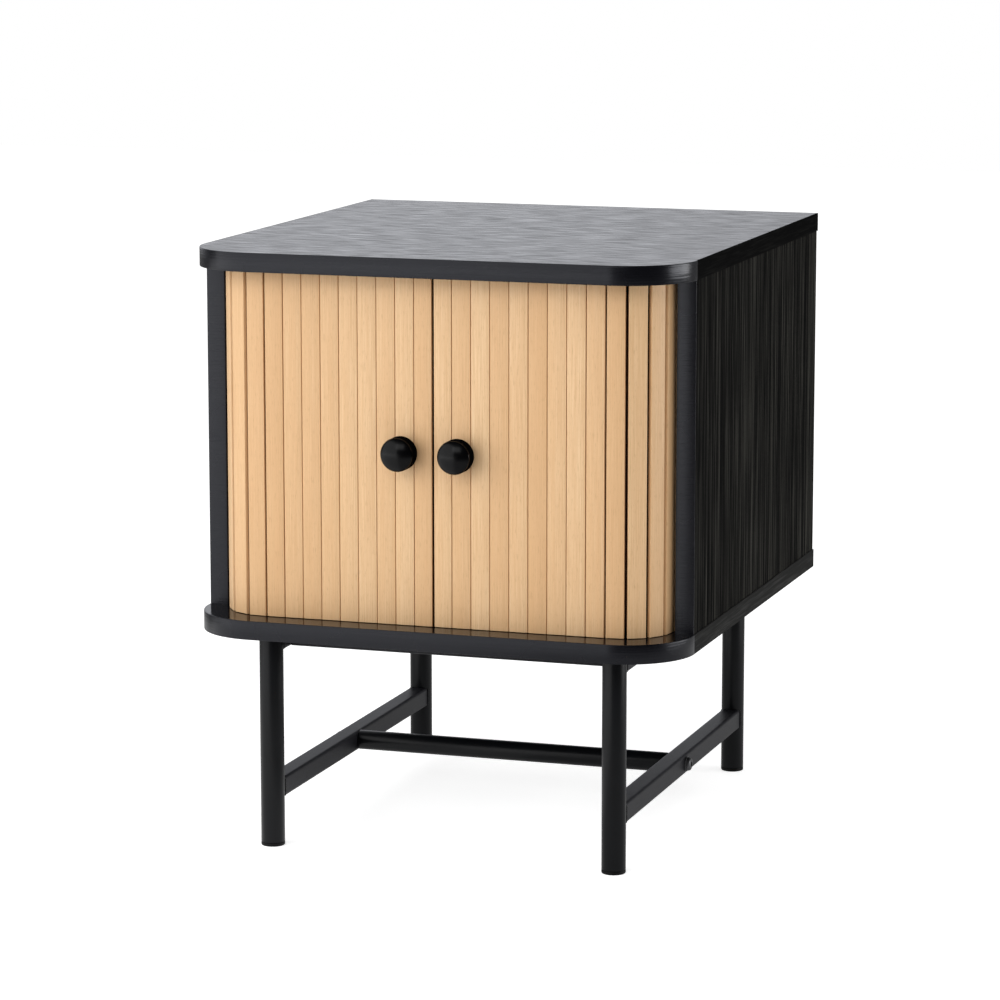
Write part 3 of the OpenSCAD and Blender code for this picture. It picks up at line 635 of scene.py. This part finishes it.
for side, word in ((1, "right"), (-1, "left")):
    canvas_piece(f"{word}_canvas_lead", 3 * slat_pitch - 4 * MM, 1.5 * slat_pitch, side,
                 f"{word}_lead", [f"{word}_lead_canvas"])
    canvas_piece(f"{word}_canvas_tail", 2 * slat_pitch - 4 * MM, 14 * slat_pitch, side,
                 f"{word}_tail", [f"{word}_tail_canvas"])
    for number in CORNER_SLATS:
        canvas_piece(f"{word}_canvas_{number}", slat_pitch - 0.5 * MM, (number - 0.5) * slat_pitch,
                     side, slat_body(number, word))
print("canvas strips", 2 * (2 + len(CORNER_SLATS)))

# %% [markdown]
# ## Edge bands
# The band is a thin strip bent round the board, so it is made like one. Its line is drawn
# with four points, the two front ones are rounded with a vertex bevel, the line is pulled up
# to the board's height, given its thickness inwards, and eased along its long edges. In the
# photograph the top's band is smooth and shiny up to the end of the corner and matt on the
# straight side, so both bands change their finish there.

# %% Edge bands
BAND_THICKNESS = 1 * MM
BAND_EASE = 0.35 * MM
PANEL_CORNER = 55 * MM


def on_outline(spot, low, high):
    """Whether a point lies on the band's outer line, seen from above."""
    past_x = max(abs(spot.x) - (high[0] - PANEL_CORNER), 0)
    past_y = max(low[1] + PANEL_CORNER - spot.y, 0)
    on_side = abs(abs(spot.x) - high[0]) < 1e-5
    on_front = abs(spot.y - low[1]) < 1e-5
    on_round = past_x > 0 and past_y > 0 and abs(math.hypot(past_x, past_y) - PANEL_CORNER) < 1e-4
    return on_side or on_front or on_round


def is_outer_long_edge(edge, low, high):
    """Whether an edge is one of the band's outer ones, at its top or bottom."""
    level = any(all(abs(v.co.z - z) < 1e-6 for v in edge.verts) for z in (low[2], high[2]))
    return len(edge.link_faces) == 2 and level and all(on_outline(v.co, low, high) for v in edge.verts)


def edge_band_piece(node, strip_finish):
    low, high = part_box(node)
    shape = bmesh.new()
    corners = [shape.verts.new(spot) for spot in (
        (low[0], high[1], low[2]), (low[0], low[1], low[2]),
        (high[0], low[1], low[2]), (high[0], high[1], low[2]))]
    for first, second in zip(corners, corners[1:]):
        shape.edges.new((first, second))
    bmesh.ops.bevel(shape, geom=corners[1:3], offset=PANEL_CORNER, segments=40, profile=0.5,
                    affect="VERTICES", material=-1)
    pulled = bmesh.ops.extrude_edge_only(shape, edges=shape.edges[:])["geom"]
    bmesh.ops.translate(shape, vec=(0, 0, high[2] - low[2]), verts=verts_in(pulled))
    face_outwards(shape)
    front = min(shape.faces, key=lambda face: face.calc_center_median().y)
    if front.normal.y > 0:
        bmesh.ops.reverse_faces(shape, faces=shape.faces)
    bmesh.ops.solidify(shape, geom=shape.faces[:], thickness=BAND_THICKNESS)
    ease_edges(shape, [e for e in shape.edges if is_outer_long_edge(e, low, high)], BAND_EASE)
    piece = finish_piece(f"{node}_strip", shape, "cabinet", edge_band, [node])
    piece.data.materials.append(strip_finish)
    for face in piece.data.polygons:
        if abs(face.normal.x) > 0.9999 or face.center.y > low[1] + PANEL_CORNER:
            face.material_index = 1
    return piece


for node, strip_finish in (("top_edge_band", side_strip), ("bottom_edge_band", painted_light_lower_strip)):
    band = edge_band_piece(node, strip_finish)
    print(band.name, len(band.data.polygons), "faces")

# %% Strips on the side panels' front edges
def front_strip(node):
    """A flat strip with its two upright front edges eased."""
    shape = bmesh.new()
    bmesh.ops.create_cube(shape, size=1.0)
    bmesh.ops.scale(shape, vec=node_size(node), verts=shape.verts)
    bmesh.ops.translate(shape, vec=node_middle(node), verts=shape.verts)
    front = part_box(node)[0][1]
    upright = [e for e in shape.edges if all(abs(v.co.y - front) < 1e-6 for v in e.verts)
               and abs(e.verts[0].co.z - e.verts[1].co.z) > 0.1]
    ease_edges(shape, upright, BAND_EASE)
    return finish_piece(f"{node}_strip", shape, "cabinet", edge_band, [node])


for node in ("left_front_band", "right_front_band"):
    strip = front_strip(node)
    print(strip.name, len(strip.data.polygons), "faces")

# %% [markdown]
# ## Knobs
# The knobs are turned on a lathe: a flat dome, a rounded rim, a rounded back and a hollow
# neck. In Blender a lathe is a spin: half of the outline is drawn once and swept round the
# axis. Only the dome is drawn polished: a polished rim and back would mirror more of the
# brown slats close behind than the photograph shows.

# %% Lathe
def arc(centre, radius, from_degrees, to_degrees, steps):
    """Points on an arc, as (distance from the axis, height)."""
    span = to_degrees - from_degrees
    turns = [math.radians(from_degrees + span * i / steps) for i in range(steps + 1)]
    return [(centre[0] + radius * math.cos(a), centre[1] + radius * math.sin(a)) for a in turns]


def lathe(outline, segments, place, into=None):
    """Spins an outline of (radius, height) points round the height axis and puts it in place."""
    shape = bmesh.new() if into is None else into
    older = set(shape.verts)
    points = [shape.verts.new((radius, 0, height)) for radius, height in outline]
    edges = [shape.edges.new(pair) for pair in zip(points, points[1:])]
    bmesh.ops.spin(shape, geom=points + edges, cent=(0, 0, 0), axis=(0, 0, 1), dvec=(0, 0, 0),
                   angle=2 * math.pi, steps=segments, use_merge=True, use_duplicate=False)
    bmesh.ops.remove_doubles(shape, verts=[v for v in shape.verts if v not in older], dist=1e-6)
    bmesh.ops.transform(shape, matrix=place, verts=[v for v in shape.verts if v not in older])
    face_outwards(shape)
    return shape

# %% Knobs
KNOB_RADIUS = 13.25 * MM
KNOB_HEIGHT = 24 * MM
KNOB_BACK = 6 * MM
KNOB_DOME = 22 * MM
KNOB_RIM = 3 * MM
KNOB_WAIST = 5 * MM
KNOB_HOLLOW = 5 * MM
# Faces that look less to the front than this are left unpolished.
POLISH_LIMIT = -0.3


def knob_outline():
    """From the middle of the dome round the rim and the back to the foot of the neck."""
    rim_x = KNOB_RADIUS - KNOB_RIM
    dome_y = KNOB_HEIGHT - KNOB_DOME
    front_y = dome_y + math.sqrt((KNOB_DOME - KNOB_RIM) ** 2 - rim_x ** 2)
    meet = math.degrees(math.atan2(front_y - dome_y, rim_x))
    dome = arc((0, dome_y), KNOB_DOME, 90, meet, 14)
    rim = arc((rim_x, front_y), KNOB_RIM, meet, 0, 8)[1:]
    back = arc((rim_x, KNOB_BACK + KNOB_RIM), KNOB_RIM, 0, -90, 10)
    reach = math.degrees(math.asin(KNOB_BACK / 2 / KNOB_HOLLOW))
    neck = arc((KNOB_WAIST + KNOB_HOLLOW, KNOB_BACK / 2), KNOB_HOLLOW, 180 - reach, 180 + reach, 12)
    return dome + rim + back + neck + [(0, 0)]


for word in ("right", "left"):
    middle = node_middle(f"{word}_knob")
    place = Matrix.Translation((middle.x, slat_face_y, middle.z)) @ Matrix.Rotation(math.pi / 2, 4, "X")
    knob = finish_piece(f"{word}_turned_knob", lathe(knob_outline(), 64, place), f"{word}_lead",
                        knob_black, [f"{word}_knob"])
    knob.data.materials.append(knob_side)
    for face in knob.data.polygons:
        if face.normal.y > POLISH_LIMIT:
            face.material_index = 1
print("knob outline points", len(knob_outline()))

# %% [markdown]
# ## Legs and cross rail
# Legs and cross rail are drawn as round tube, cut off square and deburred, so they are
# turned too: half of a tube's wall, with eased outer ends, is spun round the tube's axis.
# The wall's thickness can't be seen and is a guess.

# %% Legs and cross rail
LEG_RADIUS = 9.5 * MM
LEG_EASE = 0.3 * MM
CROSS_RADIUS = 8 * MM
CROSS_EASE = 0.1 * MM
STEEL_WALL = 1.5 * MM


def tube_outline(radius, low, high, ease):
    """Half section of a round tube with eased outer ends."""
    bore = radius - STEEL_WALL
    lower = arc((radius - ease, low + ease), ease, -90, 0, 3)
    upper = arc((radius - ease, high - ease), ease, 0, 90, 3)
    return [(bore, low)] + lower + upper + [(bore, high), (bore, low)]


legs = {}
for node in ("front_left_leg", "front_right_leg", "rear_left_leg", "rear_right_leg"):
    low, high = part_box(node)
    legs[node] = node_middle(node)
    shape = lathe(tube_outline(LEG_RADIUS, low[2], high[2], LEG_EASE), 48,
                  Matrix.Translation((legs[node].x, legs[node].y, 0)))
    finish_piece(f"{node}_tube", shape, "cabinet", powder_coat, [node])

cross_low, cross_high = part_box("cross_rail")
cross_middle = node_middle("cross_rail")
cross_place = Matrix.Translation((0, cross_middle.y, cross_middle.z)) @ Matrix.Rotation(math.pi / 2, 4, "Y")
shape = lathe(tube_outline(CROSS_RADIUS, cross_low[0], cross_high[0], CROSS_EASE), 40, cross_place)
finish_piece("cross_rail_tube", shape, "cabinet", powder_coat, ["cross_rail"])
print("legs at", [tuple(round(c, 4) for c in spot) for spot in legs.values()])

# %% [markdown]
# ## Square rails
# The stretchers and the rails under the lower board are square tube with rolled corners. A
# square is drawn, its corners are rounded, and it is pulled out to the rail's length. The
# ends that meet a round leg are coped, cut hollow to its curve, so the extrusion's sides are
# divided first: then each point of the end can move back by as much as the leg bulges there.

# %% Square rails
TUBE_SIZE = 16 * MM
TUBE_CORNER = 2 * MM


def square_tube(low, high, axis, cope):
    """Square tube along axis 0 or 1, from low to high. cope hollows both ends for the round legs."""
    half = TUBE_SIZE / 2
    shape = bmesh.new()
    corners = [shape.verts.new((x, 0, z)) for x, z in (
        (-half, -half), (half, -half), (half, half), (-half, half))]
    for first, second in zip(corners, corners[1:] + corners[:1]):
        shape.edges.new((first, second))
    bmesh.ops.bevel(shape, geom=corners, offset=TUBE_CORNER, segments=5, profile=0.5,
                    affect="VERTICES", material=-1)
    flats = [e for e in shape.edges if e.calc_length() > half]
    bmesh.ops.subdivide_edges(shape, edges=flats, cuts=9)
    length = high[axis] - low[axis]
    bmesh.ops.translate(shape, vec=(0, -length / 2, 0), verts=shape.verts)
    pulled = bmesh.ops.extrude_edge_only(shape, edges=shape.edges[:])["geom"]
    bmesh.ops.translate(shape, vec=(0, length, 0), verts=verts_in(pulled))
    face_outwards(shape)
    if sum(f.normal.dot(f.calc_center_median()) for f in shape.faces) < 0:
        bmesh.ops.reverse_faces(shape, faces=shape.faces)
    bmesh.ops.solidify(shape, geom=shape.faces[:], thickness=STEEL_WALL)
    if cope:
        leg_at_corner = math.sqrt(LEG_RADIUS ** 2 - half ** 2)
        for v in shape.verts:
            leg_here = math.sqrt(max(LEG_RADIUS ** 2 - v.co.x ** 2, 0))
            v.co.y -= math.copysign(leg_here - leg_at_corner, v.co.y)
    if axis == 0:
        along_x = Matrix.Rotation(math.pi / 2, 3, "Z")
        bmesh.ops.rotate(shape, cent=(0, 0, 0), matrix=along_x, verts=shape.verts)
    bmesh.ops.translate(shape, vec=(Vector(low) + Vector(high)) / 2, verts=shape.verts)
    face_outwards(shape)
    return shape


for node, axis, cope in (("left_stretcher", 1, True), ("right_stretcher", 1, True),
                         ("left_top_rail", 1, True), ("right_top_rail", 1, True),
                         ("front_top_rail", 0, False)):
    low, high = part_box(node)
    finish_piece(f"{node}_tube", square_tube(low, high, axis, cope), "cabinet", painted_sheen_rail_coat,
                 [node])
    print(node, [round(c, 4) for c in low], [round(c, 4) for c in high])

# %% [markdown]
# ## Weld beads
# A weld is a row of small overlapping ripples in the corner between rail and leg. No bead can
# be made out in the photograph, so these are a guess. They close the small gap between
# square rail and round leg. Each bead is a thin turned rod whose thickness swells and
# shrinks. Two sines out of step make the ripples uneven, as a hand does, and both ends taper.

# %% Weld beads
BEAD_RADIUS = 1.1 * MM
BEAD_INSET = 0.8 * MM
BEAD_STEPS = 20


def weld_bead(shape, foot, length):
    """A rippled rod that stands upright on foot."""
    outline = [(0, 0)]
    for i in range(BEAD_STEPS + 1):
        swell = 1 + 0.12 * math.sin(i * 2.6) + 0.06 * math.sin(i * 5.3 + 1)
        taper = min(1.0, 0.45 + min(i, BEAD_STEPS - i) * 0.3)
        outline.append((BEAD_RADIUS * swell * taper, length * i / BEAD_STEPS))
    outline.append((0, length))
    return lathe(outline, 10, Matrix.Translation(foot), into=shape)


beads = bmesh.new()
beside = TUBE_SIZE / 2 + 0.1 * MM
before = math.sqrt(LEG_RADIUS ** 2 - (TUBE_SIZE / 2) ** 2) + BEAD_INSET
for spot in legs.values():
    inward = -1 if spot.y > 0 else 1
    for rail in ("stretcher", "top_rail"):
        rail_low, rail_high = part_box(f"{'left' if spot.x < 0 else 'right'}_{rail}")
        for across in (-1, 1):
            foot = (spot.x + across * beside, spot.y + inward * before, rail_low[2] + BEAD_INSET)
            weld_bead(beads, foot, rail_high[2] - rail_low[2] - 2 * BEAD_INSET)
print("weld beads", 4 * len(legs), "with", len(beads.faces), "faces")
finish_piece("weld_beads", beads, "cabinet", powder_coat)

# %% [markdown]
# ## Bolts and washers
# The bolt is drawn as a button-head screw, with a low round head and a hexagon socket. The
# photograph shows a dark recess but not its shape. The socket's mouth is a
# hexagon divided into forty-eight points, which is bridged to the round head around it. The
# head's outline is then followed outwards and down, ring by ring. The washer is turned.

# %% Bolt heads
SOCKET_WIDTH = 4 * MM
SOCKET_DEPTH = 2 * MM
# Radius and height in millimetres, from the ring round the socket to the underside.
HEAD_OUTLINE = ((3.2, 3.3), (4.2, 3.05), (4.9, 2.6), (5.3, 2.0), (5.5, 1.3), (5.5, 0.3), (5.2, 0))


def pull_ring(shape, edges):
    """Extrudes a ring of edges in place and gives the new ring's vertices and edges."""
    pulled = bmesh.ops.extrude_edge_only(shape, edges=edges)["geom"]
    moved = verts_in(pulled)
    return moved, [g for g in pulled if isinstance(g, bmesh.types.BMEdge)
                   and all(v in moved for v in g.verts)]


def bolt_head():
    """A button head with its socket, standing on the plane z = 0."""
    shape = bmesh.new()
    radius, height = HEAD_OUTLINE[0]
    mouth_radius = SOCKET_WIDTH / 2 / math.cos(math.pi / 6)
    bmesh.ops.create_circle(shape, cap_ends=False, segments=6, radius=mouth_radius)
    bmesh.ops.subdivide_edges(shape, edges=shape.edges[:], cuts=7)
    mouth = shape.edges[:]
    bmesh.ops.create_circle(shape, cap_ends=False, segments=48, radius=radius * MM)
    ring = [e for e in shape.edges if e not in mouth]
    bmesh.ops.translate(shape, vec=(0, 0, height * MM), verts=shape.verts)
    bmesh.ops.bridge_loops(shape, edges=mouth + ring)
    for next_radius, next_height in HEAD_OUTLINE[1:]:
        moved, ring = pull_ring(shape, ring)
        grow = next_radius / radius
        bmesh.ops.scale(shape, vec=(grow, grow, 1), verts=moved)
        bmesh.ops.translate(shape, vec=(0, 0, (next_height - height) * MM), verts=moved)
        radius, height = next_radius, next_height
    bmesh.ops.contextual_create(shape, geom=ring)
    moved, floor_ring = pull_ring(shape, mouth)
    bmesh.ops.translate(shape, vec=(0, 0, -SOCKET_DEPTH), verts=moved)
    bmesh.ops.contextual_create(shape, geom=floor_ring)
    return shape

# %% Bolts and washers in place
WASHER_THICKNESS = 1.2 * MM
# Radius and height in millimetres, round the washer's section.
WASHER_OUTLINE = ((3.3, 0), (6.1, 0), (6.25, 0.15), (6.25, 1.0),
                  (6.05, 1.2), (3.5, 1.2), (3.3, 1.0), (3.3, 0))
washer_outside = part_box("washers")[1][0]
for side, word in ((1, "right"), (-1, "left")):
    turn = Matrix.Rotation(side * math.pi / 2, 4, "Y")
    head = bolt_head()
    head_spot = Matrix.Translation((side * washer_outside, cross_middle.y, cross_middle.z))
    bmesh.ops.transform(head, matrix=head_spot @ turn, verts=head.verts)
    face_outwards(head)
    finish_piece(f"{word}_bolt_head", head, "cabinet", black_oxide,
                 ["cross_rail_bolts"], smooth_under=40)
    washer_spot = Matrix.Translation(
        (side * (washer_outside - WASHER_THICKNESS), cross_middle.y, cross_middle.z))
    washer = lathe([(radius * MM, height * MM) for radius, height in WASHER_OUTLINE], 48, washer_spot @ turn)
    finish_piece(f"{word}_washer", washer, "cabinet", black_oxide, ["washers"])
print("bolt heads stand out", round((HEAD_OUTLINE[0][1] * MM + WASHER_THICKNESS) / MM, 1), "mm")

# %% [markdown]
# ## Foot caps
# Plugs close the legs. Only a rim of about three millimetres shows, with a soft lower edge.

# %% Foot caps
CAP_HEIGHT = 2.8 * MM
CAP_SOLE_EASE = 0.9 * MM
CAP_TOP_EASE = 0.25 * MM
PLUG_RADIUS = 7.9 * MM
PLUG_TOP = 14 * MM
cap_outline = [(0, 0)]
cap_outline += arc((LEG_RADIUS - CAP_SOLE_EASE, CAP_SOLE_EASE), CAP_SOLE_EASE, -90, 0, 6)
cap_outline += arc((LEG_RADIUS - CAP_TOP_EASE, CAP_HEIGHT - CAP_TOP_EASE), CAP_TOP_EASE, 0, 90, 3)
cap_outline += [(PLUG_RADIUS, CAP_HEIGHT), (PLUG_RADIUS, PLUG_TOP), (0, PLUG_TOP)]
for node, spot in legs.items():
    cap = lathe(cap_outline, 48, Matrix.Translation((spot.x, spot.y, 0)))
    name = node.replace("leg", "foot_cap")
    finish_piece(name, cap, "cabinet", foot_plastic, ["foot_caps"])
print("foot caps", len(legs))

# %% [markdown]
# ## Floor
# The floor is a sheet of white studio paper. To the camera it is white, and it keeps a faint
# shadow, which the photograph doesn't have. The table's black finishes mirror the floor, and
# all white it would light them far more than the photograph shows. So in mirrors it is dark,
# apart from three places: close round the table, in front on the left, and faintly at the
# back. No real floor does that. The places and their strength were set by comparing renders
# with the photograph.

# %% Floor
FLOOR_GLOW = 0.68


def floor_finish():
    """Paper for the camera, and in mirrors as much paper as each place has."""
    material = bpy.data.materials.new("white studio floor")
    tree = start_tree(material)
    matt = add(tree, "ShaderNodeBsdfDiffuse", {"Color": (0.9, 0.9, 0.9, 1)})
    glow = add(tree, "ShaderNodeEmission", {"Color": (1, 1, 1, 1), "Strength": FLOOR_GLOW})
    paper = add(tree, "ShaderNodeAddShader", {0: matt.outputs["BSDF"], 1: glow.outputs["Emission"]})
    dark = add(tree, "ShaderNodeBsdfDiffuse", {"Color": (0.1, 0.1, 0.1, 1)})
    spot = add(tree, "ShaderNodeTexCoord")
    across = add(tree, "ShaderNodeSeparateXYZ", {"Vector": spot.outputs["Object"]})
    # The share of paper that a mirror sees in each place, from 0 to 1.
    behind = add(tree, "ShaderNodeMapRange", {
        "Value": across.outputs["Y"], "From Min": -0.6, "From Max": -0.1, "To Max": 0.12})
    slope = add(tree, "ShaderNodeMath", {
        0: across.outputs["X"], 1: across.outputs["Y"]}, operation="DIVIDE")
    left_front = add(tree, "ShaderNodeMapRange", {
        "Value": slope.outputs["Value"], "From Min": -0.05, "From Max": 0.16})
    front = add(tree, "ShaderNodeMapRange", {
        "Value": across.outputs["Y"], "From Min": -0.05, "From Max": 0.05, "To Min": 1.0, "To Max": 0.0})
    lit_front = add(tree, "ShaderNodeMath", {
        0: left_front.outputs["Result"], 1: front.outputs["Result"]}, operation="MULTIPLY")
    away = add(tree, "ShaderNodeVectorMath", {0: spot.outputs["Object"]}, operation="LENGTH")
    near = add(tree, "ShaderNodeMapRange", {
        "Value": away.outputs["Value"], "From Min": 1.1, "From Max": 1.5, "To Min": 0.5, "To Max": 0.0})
    far_share = add(tree, "ShaderNodeMath", {
        0: behind.outputs["Result"], 1: lit_front.outputs["Value"]}, operation="MAXIMUM")
    paper_share = add(tree, "ShaderNodeMath", {
        0: near.outputs["Result"], 1: far_share.outputs["Value"]}, operation="MAXIMUM")
    mirrored = add(tree, "ShaderNodeMixShader", {
        0: paper_share.outputs["Value"], 1: dark.outputs["BSDF"], 2: paper.outputs["Shader"]})
    path = add(tree, "ShaderNodeLightPath")
    seen = add(tree, "ShaderNodeMixShader", {
        0: path.outputs["Is Camera Ray"], 1: matt.outputs["BSDF"], 2: paper.outputs["Shader"]})
    choice = add(tree, "ShaderNodeMixShader", {
        0: path.outputs["Is Glossy Ray"], 1: seen.outputs["Shader"], 2: mirrored.outputs["Shader"]})
    add(tree, "ShaderNodeOutputMaterial", {"Surface": choice.outputs["Shader"]})
    return material


def make_floor():
    """Twelve metres of paper under the table."""
    shape = bmesh.new()
    bmesh.ops.create_grid(shape, x_segments=1, y_segments=1, size=6.0)
    mesh = bpy.data.meshes.new("floor")
    shape.to_mesh(mesh)
    shape.free()
    mesh.materials.append(floor_finish())
    floor = bpy.data.objects.new("floor", mesh)
    bpy.context.scene.collection.objects.link(floor)


make_floor()
print("floor glow", FLOOR_GLOW)

# %% [markdown]
# ## Lamps and world
# Black lacquer and film show the studio more than their own colour, so the lights are placed
# by what each surface mirrors. A large soft panel at the front left gives the flat fronts
# their soft grey. A low one at the right draws the light on the rounded corners of the top,
# and a third hangs high in front and lights the slats. The camera sees none of them.
#
# The world is white to the camera. In mirrors it is white behind the table on the left,
# which the top board shows, and dim on the right and in front. The real studio isn't known:
# lamps and world were set by comparing renders with the photograph.

# %% Lamps
def make_lamp(name, place, target, width, height, power):
    """A soft box of width by height, in metres, that faces target with power in watts."""
    data = bpy.data.lights.new(name, "AREA")
    data.shape = "RECTANGLE"
    data.size = width
    data.size_y = height
    data.energy = power
    lamp = bpy.data.objects.new(name, data)
    lamp.location = place
    lamp.rotation_euler = (Vector(target) - Vector(place)).to_track_quat("-Z", "Y").to_euler()
    lamp.visible_camera = False
    bpy.context.scene.collection.objects.link(lamp)


make_lamp("front left panel", (-1.3, -1.5, 1.0), (-0.1, -0.1, 1.0), width=2.55, height=2.0, power=29.5)
make_lamp("right rear panel", (2.2, 0.5, 0.42), (0.2, -0.2, 0.42), width=1.6, height=0.5, power=20)
make_lamp("soft box above the front", (0.1, -2.7, 1.7), (0, 0, 0.3), width=1.6, height=1.0, power=12)

# %% World
def make_world():
    """White for the camera. As light and in mirrors it depends on the direction."""
    world = bpy.data.worlds.new("studio")
    tree = start_tree(world)
    path = add(tree, "ShaderNodeLightPath")
    place = add(tree, "ShaderNodeTexCoord")
    toward = add(tree, "ShaderNodeSeparateXYZ", {"Vector": place.outputs["Generated"]})
    back = add(tree, "ShaderNodeMapRange", {
        "Value": toward.outputs["Y"], "From Min": 0.1, "From Max": 0.6, "To Min": 0.1, "To Max": 1.0})
    leftward = add(tree, "ShaderNodeMapRange", {
        "Value": toward.outputs["X"], "From Min": -0.3, "From Max": 0.15, "To Min": 1.0, "To Max": 0.2})
    mirrored = add(tree, "ShaderNodeMath", {
        0: back.outputs["Result"], 1: leftward.outputs["Result"]}, operation="MULTIPLY")
    soft = add(tree, "ShaderNodeMapRange", {
        "Value": toward.outputs["X"], "From Min": -0.6, "From Max": 0.8, "To Min": 0.62, "To Max": 0.38})
    lit = add(tree, "ShaderNodeMix", {
        "Factor": path.outputs["Is Glossy Ray"], "A": soft.outputs["Result"],
        "B": mirrored.outputs["Value"]})
    seen = add(tree, "ShaderNodeMath", {
        0: path.outputs["Is Camera Ray"], 1: path.outputs["Is Transmission Ray"]}, operation="MAXIMUM")
    strength = add(tree, "ShaderNodeMix", {
        "Factor": seen.outputs["Value"], "A": lit.outputs["Result"], "B": 1.0})
    tint = add(tree, "ShaderNodeMix", {
        "Factor": path.outputs["Is Glossy Ray"], "A": (1, 1, 1, 1), "B": (0.93, 0.945, 1.0, 1)},
        data_type="RGBA")
    light = add(tree, "ShaderNodeBackground", {
        "Color": tint.outputs["Result"], "Strength": strength.outputs["Result"]})
    add(tree, "ShaderNodeOutputWorld", {"Surface": light.outputs["Background"]})
    bpy.context.scene.world = world
    return world


print("world", make_world().name)
bpy.context.scene.view_settings.view_transform = "Standard"
